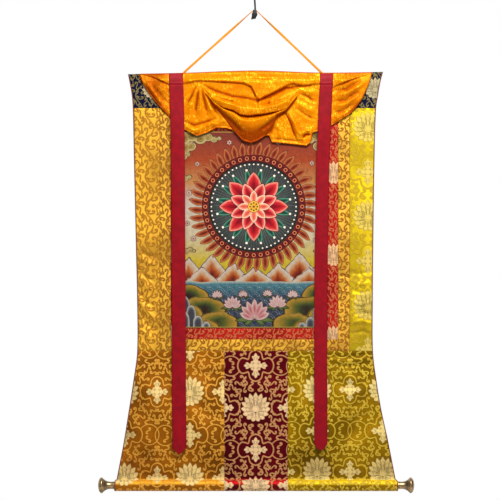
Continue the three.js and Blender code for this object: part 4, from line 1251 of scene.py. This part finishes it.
SWAG_BOTTOM = np.array([
    (-146, 27), (-130, 60), (-108, 86), (-85, 112), (-64, 141), (-46, 164), (-30, 184), (-10, 191), (6, 186),
    (27, 170), (43, 151), (58, 122), (85, 100), (105, 78), (122, 52), (128, 39),
])
BAND_HEIGHT, BAND_ROUNDING = 7.0, 4.5
ROLL_HEIGHT = 19.0
ROLL_LEFT_TAPER, ROLL_RIGHT_TAPER = 70.0, 60.0
LIP_WIDTH = 3.0
LAPPET_HEIGHT = 4.4
VEIL_GAIN = 1.5
VEIL_END_SHARE = 0.45

# Folds of the veil: half width, forward, then the line's points (across, drop).
VEIL_FOLDS = [
    (4.0, -2.6, [(-148, 28), (-163, 60), (-184, 92)]),
    (5.0, 2.6, [(-147, 30), (-158, 66), (-172, 104)]),
    (4.0, -2.6, [(-145, 30), (-150, 72), (-156, 112)]),
    (5.0, 2.6, [(-143, 32), (-141, 76), (-143, 118)]),
    (4.0, -2.6, [(-141, 34), (-130, 76), (-124, 112)]),
    (5.0, 2.6, [(-139, 36), (-121, 80), (-108, 112)]),
    (4.0, -2.2, [(-137, 38), (-112, 86), (-92, 120)]),
    (6.5, 3.8, [(-182, 142), (-158, 153), (-136, 147)]),
    (5.0, 3.4, [(-130, 144), (-112, 133), (-98, 137)]),
    (3.5, -2.8, [(-182, 130), (-158, 139), (-130, 131), (-104, 121)]),
    (4.0, 2.4, [(-96, 134), (-82, 126), (-74, 134)]),
    (8.0, 5.0, [(92, 110), (106, 136), (121, 174)]),
    (3.0, -3.0, [(80, 104), (94, 132), (108, 174)]),
    (6.0, 2.4, [(58, 134), (66, 152), (70, 176)]),
    (3.0, -1.8, [(48, 174), (84, 177), (126, 181)]),
    (6.0, 4.0, [(120, 172), (124, 160), (136, 153), (152, 155)]),
    (3.0, -2.6, [(126, 172), (134, 164), (148, 163)]),
    (5.0, -2.4, [(120, 56), (138, 64), (158, 78)]),
    (7.0, 2.6, [(124, 48), (144, 52), (168, 60)]),
    (6.0, 2.2, [(114, 82), (136, 96), (160, 106)]),
    (4.0, -2.0, [(112, 96), (134, 112), (158, 124)]),
    (4.0, -2.2, [(-262, 40), (-244, 62), (-228, 80)]),
    (6.0, 2.6, [(-276, 36), (-258, 62), (-238, 92)]),
    (4.0, -2.2, [(-286, 34), (-270, 62), (-250, 86)]),
    (5.0, -2.6, [(206, 50), (240, 44), (272, 26)]),
    (7.0, 3.0, [(206, 62), (244, 54), (284, 30)]),
    (5.0, -2.6, [(206, 78), (240, 72), (270, 52)]),
    (8.0, 3.0, [(206, 92), (236, 86), (262, 66)]),
    (5.0, -2.2, [(208, 106), (232, 101), (254, 84)]),
    (9.0, 2.6, [(208, 122), (228, 114), (246, 102)]),
    (5.0, -2.4, [(-118, 58), (-84, 70), (-48, 78)]),
    (5.0, 2.2, [(-104, 72), (-74, 82), (-40, 92)]),
    (5.0, -2.4, [(100, 56), (70, 72), (30, 84)]),
    (5.0, 2.0, [(92, 74), (62, 88), (22, 96)]),
    (6.0, -2.6, [(52, 122), (36, 138), (16, 152)]),
    (5.0, 2.4, [(62, 118), (46, 138), (28, 156)]),
    (6.0, -2.2, [(-78, 112), (-58, 134), (-36, 156)]),
    (3.5, -2.8, [(-140, 31), (-100, 50), (-59, 63), (-18, 68), (9, 75)]),
    (3.5, -2.8, [(9, 75), (45, 61), (81, 43), (118, 38)]),
    (5.0, 1.8, [(-96, 14), (-40, 10), (16, 12), (66, 10)]),
    (4.0, -1.8, [(-60, 20), (-20, 17), (24, 22), (60, 20)]),
]
RIBBON_PRESS = [-205.0, 188.0]
HEM_TINT, HEM_TINT_REACH = 6.0, 1.4
# Painted shade under the lower roll and along the curled hem.
UNDER_ROLL_SHADE = 2.6
CURL_SHADE, CURL_SHADE_REACH = 2.4, 5.0

# The veil's two ends hang turned from the light and get painted shade: across, reach, amount of shade.
WING_SHADES = [(-262, 50, 1.9), (254, 42, 1.2)]
RIBBON_PRESS_REACH = 30.0


def straight_table(table, at):
    return np.interp(at, table[:, 0], table[:, 1])


def roll_profile(x, drop):
    """The swag's two rolls, 0 to 1: each swells below its upper edge, and the lower one falls back to its end."""
    top = straight_table(ROLL_TOP, x)
    crease = straight_table(ROLL_CREASE, x)
    bottom = straight_table(SWAG_BOTTOM, x)
    upper = (drop - top) / np.maximum(crease - top, 1.0)
    lower = (drop - crease) / np.maximum(bottom - crease, 1.0)
    upper_roll = smooth(upper / 0.65) * (1.0 - 0.15 * smooth((upper - 0.75) / 0.25))
    lower_roll = lerp(0.22, 1.0, smooth(lower / 0.2)) * (1.0 - 0.85 * smooth((lower - 0.1) / 0.9))
    roll = lerp(upper_roll, lower_roll, smooth((drop - crease) / LIP_WIDTH + 0.5))
    taper = smooth((x - ROLL_TOP[0, 0]) / ROLL_LEFT_TAPER) * smooth((ROLL_TOP[-1, 0] - x) / ROLL_RIGHT_TAPER)
    return roll * taper * smooth((bottom - drop) / LIP_WIDTH)


def under_roll(x, drop):
    """How much painted shade the lower roll's underside gets, 0 to 1."""
    crease = straight_table(ROLL_CREASE, x)
    lower = (drop - crease) / np.maximum(straight_table(SWAG_BOTTOM, x) - crease, 1.0)
    return smooth((lower - 0.15) / 0.5) * (lower < 1.0) * (np.abs(x + 9.0) < 120.0)


def hollow(height, reach):
    """How far each place of a grid lies behind the average of its surroundings."""
    even = np.ones(2 * reach + 1) / (2 * reach + 1)

    def spread(row):
        return np.convolve(np.pad(row, reach, mode="edge"), even, mode="valid")

    around = np.apply_along_axis(spread, 1, np.apply_along_axis(spread, 0, height))
    return np.maximum(around - height, 0.0)


def veil_forward(x, drop):
    """How far the veil's middle stands in front of the cloth's middle."""
    band = 1.0 - smooth((drop - straight_table(BAND_EDGE, x) + BAND_ROUNDING) / BAND_ROUNDING)
    raised = LAPPET_HEIGHT + BAND_HEIGHT * band + ROLL_HEIGHT * roll_profile(x, drop)
    raised += VEIL_GAIN * fold_relief(VEIL_FOLDS, VEIL_END_SHARE, x, drop)
    raised += 0.7 * value_noise(x / 21.0, drop / 15.0, 4.0) + 0.35 * value_noise(x / 9.0, drop / 7.0, 9.0)
    press = np.ones_like(x)
    for centre in RIBBON_PRESS:
        press -= 0.62 * np.exp(-((x - centre) / RIBBON_PRESS_REACH) ** 4)
    return VEIL_REST + np.maximum(raised, 0.0) * smooth(drop / VEIL_STRIP) * press


def add_veil():
    columns, rows = 408, 116
    u, v = np.meshgrid(np.linspace(0, 1, columns + 1), np.linspace(0, 1, rows + 1))
    x = lerp(VEIL_HEM[0, 0], VEIL_HEM[-1, 0], u)
    hem = straight_table(VEIL_HEM, x)
    drop = lerp(VEIL_LEVEL - top_edge(x), hem, v)
    z = VEIL_LEVEL - drop
    to_edge = hem - drop
    forward = cloth_forward(x, z) + veil_forward(x, drop) + VEIL_THICKNESS / 2
    forward += 0.8 * np.exp(-((to_edge - 1.6) / 1.6) ** 2) - 0.5 * np.exp(-((to_edge - 5.5) / 1.4) ** 2)
    points = np.stack([x, CLOTH_DEPTH - forward, z], axis=-1)
    fields = SCROLLS.read(x, z + 0.4 * drop, 0.5, (10.0, -240.0))
    # Painted shade: darker in the hollows of the folds, under the lower roll, along the curled hem and on the two
    # ends; also darker along the top edge.
    fields["hollow"] = hollow(forward, 5) + HEM_TINT * np.exp(-(drop - drop[0]) / HEM_TINT_REACH)
    fields["hollow"] += UNDER_ROLL_SHADE * under_roll(x, drop) + CURL_SHADE * np.exp(-to_edge / CURL_SHADE_REACH)
    for wing_x, reach, wing_shade in WING_SHADES:
        fields["hollow"] += wing_shade * np.exp(-((x - wing_x) / reach) ** 2)
    obj = sheet_object("veil_silk", points, VEIL_THICKNESS, fields, coarse=2, along_depth=True)
    finish_piece(obj, silk_material("orange_silk", (214, 122, 2), (248, 190, 28), (204, 108, 0), (132, 36, 0)), "veil")


add_veil()

# Turned knobs, the roller and the hook.
KNOB_OUTLINE = [
    (0, 0), (0, 10.2), (0.6, 10.6), (4, 10.3), (8, 9.9), (12, 9.6), (16, 9.7), (20, 10.3), (23.5, 11.4),
    (26.5, 12.9),
    (29, 14.6), (31.2, 16.5), (33, 18.4), (34.4, 19.9), (35.6, 20.6), (37.0, 20.7), (38.6, 20.3),
    (40.2, 19.2), (41.8, 17.4), (43.2, 14.9), (44.4, 11.6), (45.4, 7.4), (46.1, 3.2), (46.3, 0),
]
BRASS = brass_material()
KNOB_GAP = 0.3
for knob_node, knob_x, knob_direction in (("knob_left", ROLLER_LEFT, -1), ("knob_right", ROLLER_RIGHT, 1)):
    knob = turned_object(knob_node + "_turned", KNOB_OUTLINE, (knob_x + knob_direction * KNOB_GAP, CLOTH_DEPTH,
                                                              ROLLER_AXIS), knob_direction)
    finish_piece(knob, BRASS, knob_node)

roller_length = ROLLER_RIGHT - ROLLER_LEFT
ROLLER_OUTLINE = [(0, 0), (0, ROLLER_RADIUS - 1), (1, ROLLER_RADIUS), (roller_length - 1, ROLLER_RADIUS),
                  (roller_length, ROLLER_RADIUS - 1), (roller_length, 0)]
roller = turned_object("roller_dowel", ROLLER_OUTLINE, (ROLLER_LEFT, CLOTH_DEPTH, ROLLER_AXIS), 1, 48)
finish_piece(roller, wood_material(), "roller")


def add_hook():
    """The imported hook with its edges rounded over."""
    made = bmesh.new()
    made.from_mesh(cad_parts["hanging_hook"].data)
    bmesh.ops.remove_doubles(made, verts=made.verts, dist=0.00002)
    bmesh.ops.dissolve_limit(made, angle_limit=math.radians(2), verts=made.verts, edges=made.edges)
    sharp = [edge for edge in made.edges if len(edge.link_faces) == 2 and edge.calc_face_angle() > math.radians(40)]
    bmesh.ops.bevel(made, geom=sharp, offset=0.0003, segments=2, affect="EDGES", profile=0.5)
    mesh = bpy.data.meshes.new("hanging_hook_forged")
    made.to_mesh(mesh)
    made.free()
    mesh.shade_smooth()
    mesh.set_sharp_from_angle(angle=math.radians(34))
    obj = linked("hanging_hook_forged", mesh)
    obj.data.materials.clear()
    finish_piece(obj, iron_material(), "hanging_hook")


add_hook()

# The painted field: a lotus medallion above a mountain lake, of its own design. Places are from the frame's origin.
MEDALLION = (-2.0, -552.0)
RAYS = 90
TONGUES = 44
WATER_LEVEL = -748.0
WAVE_PITCH, WAVE_ROW = 26.0, 11.5

# Cloud puffs (across, level, radius) for the left; the right has them mirrored.
CLOUD_PUFFS = [
    (-186, -372, 20), (-164, -366, 19), (-142, -374, 17), (-122, -370, 13), (-106, -376, 10), (-92, -373, 7),
    (-182, -398, 16), (-166, -394, 14), (-188, -420, 13), (-176, -414, 9), (-182, -478, 10), (-170, -474, 7),
    (-180, -668, 9), (-168, -664, 8), (-188, -672, 7), (-158, -668, 5),
]
# Snowy peaks behind the lake: across, height, half width, back to front.
PEAKS = [
    (-112, 74, 62), (118, 78, 66), (-172, 66, 52), (176, 62, 50), (-56, 52, 50), (62, 50, 48), (0, 40, 52),
    (-138, 40, 44), (142, 38, 46),
]
# Green hills and pale rocks (across, level, half width, half height), back to front.
HILLS = [
    (-176, -790, 58, 34), (178, -788, 56, 36), (-132, -818, 58, 30), (136, -816, 60, 28),
    (-184, -836, 50, 30),
    (186, -838, 48, 28), (-96, -850, 54, 22), (102, -852, 56, 20), (-150, -866, 60, 20), (156, -868, 58, 20),
]
ROCKS = [
    (-184, -812, 15, 27), (-166, -834, 13, 24), (-186, -850, 16, 24), (-148, -856, 13, 20),
    (184, -814, 14, 26),
    (166, -832, 14, 25), (186, -852, 15, 23), (146, -858, 13, 18), (-126, -866, 11, 14), (124, -868, 11, 14),
]
# Lilies on the lake: across, level, size.
LILIES = [(0, -842, 1.15), (-58, -814, 0.7), (60, -812, 0.72), (-98, -788, 0.45), (100, -787, 0.45), (-30, -786, 0.4),
          (34, -784, 0.4)]
LILY_PETALS = [(-74, 36), (74, 36), (-50, 40), (50, 40), (-25, 42), (25, 42), (0, 44)]
LILY_LEAVES = [(-100, 46, 7), (100, 46, 7), (-128, 30, 6), (128, 30, 6)]
# Small blossoms in the sky: across, level, size.
BLOSSOMS = [(-172, -516, 6), (174, -520, 6), (-176, -596, 5), (176, -600, 5), (-150, -440, 5), (150, -438, 5),
            (-160, -636, 5.5), (160, -640, 5.5), (-66, -384, 5), (62, -384, 5)]


def sector(x, z, count, offset=0.0):
    """Sideways and outward place within the nearest of equal sectors round a centre."""
    radius = np.hypot(x, z)
    step = 2 * math.pi / count
    turn = np.arctan2(x, z) - offset * step
    turn -= np.round(turn / step) * step
    return radius * np.sin(turn), radius * np.cos(turn)


def petal_ring(x, z, count, low, high, width, offset=0.0, bend=0.0):
    """Petals round a centre; bend curls their tips sideways, in millimetres."""
    side, out = sector(x, z, count, offset)
    side = side - bend * np.clip((out - low) / (high - low), 0.0, 1.0) ** 2
    return vesica(side, out, (0.0, low), (0.0, high), width)


def dot_ring(x, z, count, reach, radius, offset=0.0):
    side, out = sector(x, z, count, offset)
    return np.hypot(side, out - reach) - radius


def cloud_field(x, z):
    """Distance to the clouds, and the curling lines within each puff."""
    cloud = far(x)
    curl = far(x)
    for px, pz, radius in CLOUD_PUFFS:
        for sign in (1, -1):
            distance = np.hypot(x - sign * px, (z - pz) * 1.15) - radius
            turn = np.arctan2(z - pz, sign * (x - sign * px))
            spiral = np.abs((distance + radius) / radius - 0.62 - 0.2 * turn / math.pi) * radius - 0.7
            over = distance < 0
            curl = np.where(over, spiral, curl)
            cloud = np.minimum(cloud, distance)
    return cloud, curl


def mound_field(x, z, mounds, roughness):
    """Depth below each mound's crown, the front one winning."""
    field = far(x)
    for mx, mz, half_width, half_height in mounds:
        crag = roughness * value_noise(x / 13.0 + mx, z / 60.0, 6.0)
        reach = np.hypot((x - mx) / half_width, (np.maximum(z - mz, 0.0) + crag) / half_height) - 1.0
        distance = np.minimum(reach * half_height, FAR)
        field = np.where((distance < 0) | (distance < field), distance, field)
    return field


def peak_field(x, z):
    """Depth below the flanks of the peaks, with jagged ridges."""
    field = far(x)
    for px, height, half_width in PEAKS:
        jag = 3.0 * value_noise(x / 6.0 + px, z / 9.0, 3.0)
        above = z - WATER_LEVEL + jag
        distance = (np.abs(x - px) / half_width + above / height - 1.0) * min(height, half_width) * 0.75
        field = np.where((distance < 0) | (distance < field), distance, field)
    return field


def wave_field(x, z):
    """Distance to rows of overlapping scales, lower rows in front."""
    crest = far(x)
    for row in range(12):
        centre = WATER_LEVEL - 6.0 - row * WAVE_ROW
        sideways = (x + (row % 2) * WAVE_PITCH / 2) % WAVE_PITCH - WAVE_PITCH / 2
        radius = np.hypot(sideways, z - centre)
        lines = np.minimum(np.abs(radius - 13.0), np.abs(radius - 8.0)) - 0.6
        crest = np.where(radius < 13.8, lines, crest)
    return crest


def lily_field(x, z):
    """Distances to the lilies' petals, their outlines and their leaves."""
    lily = far(x)
    outline = far(x)
    leaf = far(x)
    for cx, cz, size in LILIES:
        for degrees, reach in LILY_PETALS:
            turn = math.radians(degrees)
            tip = (cx + size * reach * math.sin(turn), cz + size * reach * math.cos(turn))
            petal = vesica(x, z, (cx, cz - 4 * size), tip, 8.5 * size)
            outline = np.where(petal < 0, np.abs(petal) - 0.7, outline)
            lily = np.minimum(lily, petal)
        for degrees, reach, width in LILY_LEAVES:
            turn = math.radians(degrees)
            tip = (cx + size * reach * math.sin(turn), cz + size * reach * math.cos(turn))
            leaf = np.minimum(leaf, vesica(x, z, (cx, cz), tip, width * size))
    return lily, outline, leaf


def blossom_field(x, z):
    blossom = far(x)
    centre = far(x)
    for bx, bz, size in BLOSSOMS:
        blossom = np.minimum(blossom, petal_ring(x - bx, z - bz, 6, 0.5, 1.6 * size, 0.5 * size))
        centre = np.minimum(centre, np.hypot(x - bx, z - bz) - 0.36 * size)
    return blossom, centre


def painting_fields(x, z):
    """Signed distances of every painted form."""
    mx, mz = x - MEDALLION[0], z - MEDALLION[1]
    radius = np.hypot(mx, mz)
    petal = petal_ring(mx, mz, 8, 8, 92, 21.0)
    inner = petal_ring(mx, mz, 8, 6, 66, 16.0, 0.5)
    fields = {
        "fringe": petal_ring(mx, mz, TONGUES, 124, 172, 9.5, 0.5, 7.0),
        "flame": petal_ring(mx, mz, TONGUES, 120, 158, 8.5, 0.0, -6.0),
        "band": np.abs(radius - 127.0) - 9.0,
        "boss": dot_ring(mx, mz, TONGUES, 127.0, 6.2),
        "disc": radius - 118.0,
        "ray": np.abs(sector(mx, mz, RAYS)[0]) - 0.45,
        "pearl": np.minimum(dot_ring(mx, mz, 60, 111.0, 3.2), dot_ring(mx, mz, 16, 97.0, 4.2, 0.5)),
        "sepal": petal_ring(mx, mz, 16, 36, 104, 9.0, 0.5),
        "petal": petal,
        "petal_rib": np.maximum(np.abs(sector(mx, mz, 40)[0]) - 0.6, petal + 5.0),
        "petal_in": inner,
        "inner_rib": np.maximum(np.abs(sector(mx, mz, 8, 0.5)[0]) - 0.7, inner + 4.0),
        "petal_core": petal_ring(mx, mz, 8, 4, 44, 10.5),
        "core": radius - 16.0,
        "seed": np.minimum(dot_ring(mx, mz, 8, 9.5, 2.3), radius - 2.8),
        "water": z - WATER_LEVEL - 3.0 * value_noise(x / 34.0, z / 90.0, 2.0),
        "crest": wave_field(x, z),
        "peak": peak_field(x, z),
        "hill": mound_field(x, z, HILLS, 3.0),
        "rock": mound_field(x, z, ROCKS, 1.0),
    }
    fields["cloud"], fields["curl"] = cloud_field(x, z)
    fields["lily"], fields["lily_line"], fields["leaf"] = lily_field(x, z)
    fields["blossom"], fields["blossom_core"] = blossom_field(x, z)
    fields["margin"] = np.minimum(PAINTING_HALF - np.abs(x), np.minimum(PAINTING_TOP - z, z - PAINTING_BOTTOM))
    return {key: np.clip(value, -60.0, 60.0) for key, value in fields.items()}


# Painted layers from back to front: field, depth of the shading inside it, then colours from its edge inwards.
PAINT_LAYERS = [
    ("peak", 34.0, [(70, 30, 20), (250, 244, 230), (244, 214, 170), (226, 132, 62), (176, 70, 32),
    (110, 40, 24)]),
    ("water", 100.0, [(206, 224, 206), (52, 150, 168), (18, 96, 122), (10, 62, 88), (8, 46, 70)]),
    ("crest", 0.7, [(190, 222, 220), (214, 234, 228)]),
    ("hill", 28.0, [(16, 30, 18), (214, 176, 70), (166, 148, 52), (84, 118, 48), (30, 74, 44),
    (12, 40, 34)]),
    ("rock", 12.0, [(24, 30, 34), (238, 238, 228), (168, 186, 176), (96, 124, 130), (58, 84, 96)]),
    ("leaf", 5.0, [(18, 44, 30), (56, 112, 62), (110, 150, 80)]),
    ("lily", 10.0, [(120, 24, 50), (252, 240, 232), (244, 190, 186), (216, 92, 112)]),
    ("lily_line", 0.7, [(150, 40, 60), (132, 30, 48)]),
    ("blossom", 3.0, [(130, 60, 40), (246, 232, 214), (244, 206, 190)]),
    ("blossom_core", 1.6, [(160, 70, 20), (236, 170, 50)]),
    ("cloud", 15.0, [(30, 32, 26), (242, 228, 160), (206, 180, 96), (140, 132, 70)]),
    ("curl", 0.8, [(60, 62, 40), (44, 48, 32)]),
    ("fringe", 8.0, [(70, 18, 14), (240, 160, 96), (206, 96, 52), (128, 44, 30)]),
    ("flame", 7.0, [(64, 14, 14), (214, 104, 66), (140, 46, 36), (84, 22, 24)]),
    ("band", 9.0, [(30, 8, 10), (112, 32, 30), (72, 18, 22)]),
    ("boss", 5.6, [(34, 8, 10), (236, 150, 96), (190, 84, 60), (70, 18, 24), (40, 10, 16)]),
    ("disc", 90.0, [(20, 22, 22), (50, 56, 56), (66, 74, 72), (82, 92, 88)]),
]
ROSETTE_LAYERS = [
    ("sepal", 7.0, [(14, 34, 28), (96, 160, 128), (40, 100, 84), (18, 60, 56)]),
    ("pearl", 2.6, [(24, 24, 22), (240, 232, 210), (250, 246, 236)]),
    ("petal", 19.0, [(60, 6, 12), (238, 150, 130), (206, 46, 50), (176, 22, 36), (120, 8, 24)]),
    ("petal_rib", 0.6, [(150, 16, 34), (140, 12, 30)]),
    ("petal_in", 14.0, [(80, 8, 18), (248, 196, 170), (224, 92, 84), (190, 36, 46), (140, 16, 30)]),
    ("inner_rib", 0.7, [(150, 20, 36), (150, 20, 36)]),
    ("petal_core", 9.0, [(100, 14, 20), (252, 222, 190), (236, 140, 110), (214, 84, 70)]),
    ("core", 13.0, [(110, 50, 16), (240, 190, 70), (226, 160, 50)]),
    ("seed", 2.0, [(70, 40, 10), (60, 96, 62)]),
]
SKY = [(0.0, (226, 196, 40)), (0.14, (244, 224, 70)), (0.3, (250, 242, 200)), (0.52, (250, 240, 222)),
       (0.66, (236, 168, 100)), (0.8, (206, 92, 50)), (1.0, (140, 70, 60))]


def painted_layer(nodes, below, field, depth, colours):
    """One painted form: an outline at its edge and shading inwards."""
    value = nodes.attribute(field)
    inward = nodes.span(value, 0.0, -depth, easing="LINEAR")
    count = len(colours)
    edge = min(0.9 / depth, 0.5)
    stops = [(0.0, srgb(colours[0])), (edge, srgb(colours[0]))]
    for number, colour in enumerate(colours[1:]):
        stops.append((edge + 0.06 + (0.94 - edge) * number / max(count - 2, 1), srgb(colour)))
    return nodes.mix(nodes.span(value, 0.35, -0.35), below, nodes.ramp(inward, stops))


def painting_material():
    """Mineral paint on cotton: layers of forms, a slight mottle, a fine canvas and a dark ruled margin."""
    nodes = material_nodes("painted_canvas")
    place = nodes.place()
    height = nodes.part(place, "Z")
    ramp = nodes.span(height, WATER_LEVEL * MM, PAINTING_TOP * MM, easing="LINEAR")
    colour = nodes.ramp(ramp, [(position, srgb(tone)) for position, tone in SKY])
    water_mask = nodes.span(nodes.attribute("water"), 0.35, -0.35)
    for field, depth, colours in PAINT_LAYERS:
        if field == "crest":
            waves = painted_layer(nodes, colour, field, depth, colours)
            colour = nodes.mix(nodes.math("MULTIPLY", water_mask, 0.6), colour, waves)
        else:
            colour = painted_layer(nodes, colour, field, depth, colours)
    disc_mask = nodes.math("MULTIPLY", nodes.span(nodes.attribute("disc"), -2.0, -4.0), 0.5)
    ray_mask = nodes.math("MULTIPLY", nodes.span(nodes.attribute("ray"), 0.5, -0.3), disc_mask)
    colour = nodes.mix(ray_mask, colour, srgb((132, 142, 136)))
    for field, depth, colours in ROSETTE_LAYERS:
        colour = painted_layer(nodes, colour, field, depth, colours)
    mottle = nodes.noise(place, 120.0, 4.0, 0.6)
    colour = nodes.mix(nodes.span(mottle, 0.3, 0.7, 0.28, 0.52), colour, srgb((170, 140, 120)), "MULTIPLY")
    colour = nodes.mix(nodes.span(nodes.attribute("margin"), 4.2, 3.6), colour, srgb((206, 160, 70)))
    colour = nodes.mix(nodes.span(nodes.attribute("margin"), 3.2, 2.6), colour, srgb((40, 22, 18)))
    nodes.set(Base_Color=lined(nodes, colour, place), Roughness=nodes.span(mottle, 0, 1, 0.7, 0.85))
    nodes.shader.inputs["Specular IOR Level"].default_value = 0.1
    nodes.bump(nodes.math("ADD", nodes.weave(0.8), mottle), strength=0.12, distance=0.3)
    return nodes.owner


add_panel("painting", steady(-PAINTING_HALF), steady(PAINTING_HALF), steady(PAINTING_TOP), PAINTING_BOTTOM,
          painting_material(), painting_fields)

# Floor and light.
FLOOR_LEVEL = -1800.0
FLOOR_RADIUS = 2200.0


def add_floor():
    angles = np.linspace(0, 2 * math.pi, 96, endpoint=False)
    ring = [(FLOOR_RADIUS * math.cos(a), FLOOR_RADIUS * math.sin(a), FLOOR_LEVEL) for a in angles]
    floor = add_mesh("floor", ring, [list(range(len(ring)))], {}, 1)
    nodes = material_nodes("pale_floor")
    tone = nodes.noise(nodes.place(), 3.0, 2.0)
    nodes.set(Base_Color=nodes.mix(tone, srgb((236, 236, 234)), srgb((228, 228, 226))), Roughness=0.8)
    floor.data.materials.append(nodes.owner)


def add_world():
    """A white backdrop behind the object, a dim room in front, above and below it."""
    world = bpy.data.worlds.new("studio")
    world.use_nodes = True
    tree = world.node_tree
    background = tree.nodes["Background"]
    place = tree.nodes.new("ShaderNodeTexCoord")
    split = tree.nodes.new("ShaderNodeSeparateXYZ")
    tree.links.new(place.outputs["Generated"], split.inputs[0])

    def ramp(value, stops):
        node = tree.nodes.new("ShaderNodeValToRGB")
        span = tree.nodes.new("ShaderNodeMapRange")
        tree.links.new(value, span.inputs["Value"])
        span.inputs["From Min"].default_value = -1.0
        tree.links.new(span.outputs["Result"], node.inputs[0])
        marks = node.color_ramp.elements
        while len(marks) < len(stops):
            marks.new(0.5)
        for mark, (position, level) in zip(marks, stops):
            mark.position = position
            mark.color = (level, level, level, 1.0)
        return node.outputs["Color"]

    backdrop = ramp(split.outputs["Y"], [(0.62, 0.0), (0.72, 1.0)])
    upright = ramp(split.outputs["Z"], [(0.0, 0.06), (0.4, 0.14), (0.5, 0.3), (0.62, 0.3), (1.0, 0.24)])
    mix = tree.nodes.new("ShaderNodeMix")
    mix.data_type = "RGBA"
    tree.links.new(backdrop, mix.inputs["Factor"])
    tree.links.new(upright, mix.inputs["A"])
    mix.inputs["B"].default_value = (1.0, 1.0, 1.0, 1.0)
    tree.links.new(mix.outputs["Result"], background.inputs["Color"])
    background.inputs["Strength"].default_value = 1.0
    bpy.context.scene.world = world


def add_light(name, place, target, size, power):
    data = bpy.data.lights.new(name, "AREA")
    data.shape = "RECTANGLE"
    data.size, data.size_y = size
    data.energy = power
    light = linked(name, data)
    light.location = [value * MM for value in place]
    away = np.array(target, float) - np.array(place, float)
    light.rotation_mode = "QUATERNION"
    direction = Vector((away / np.linalg.norm(away)).tolist())
    light.rotation_quaternion = direction.to_track_quat("-Z", "Y")


add_floor()
add_world()
add_light("key", (350, -2050, 1250), (0, 0, -760), (1.5, 0.8), 122.0)
add_light("fill", (300, -3600, -200), (0, 0, -700), (2.4, 1.6), 10.0)
bpy.context.scene.view_settings.view_transform = "Standard"
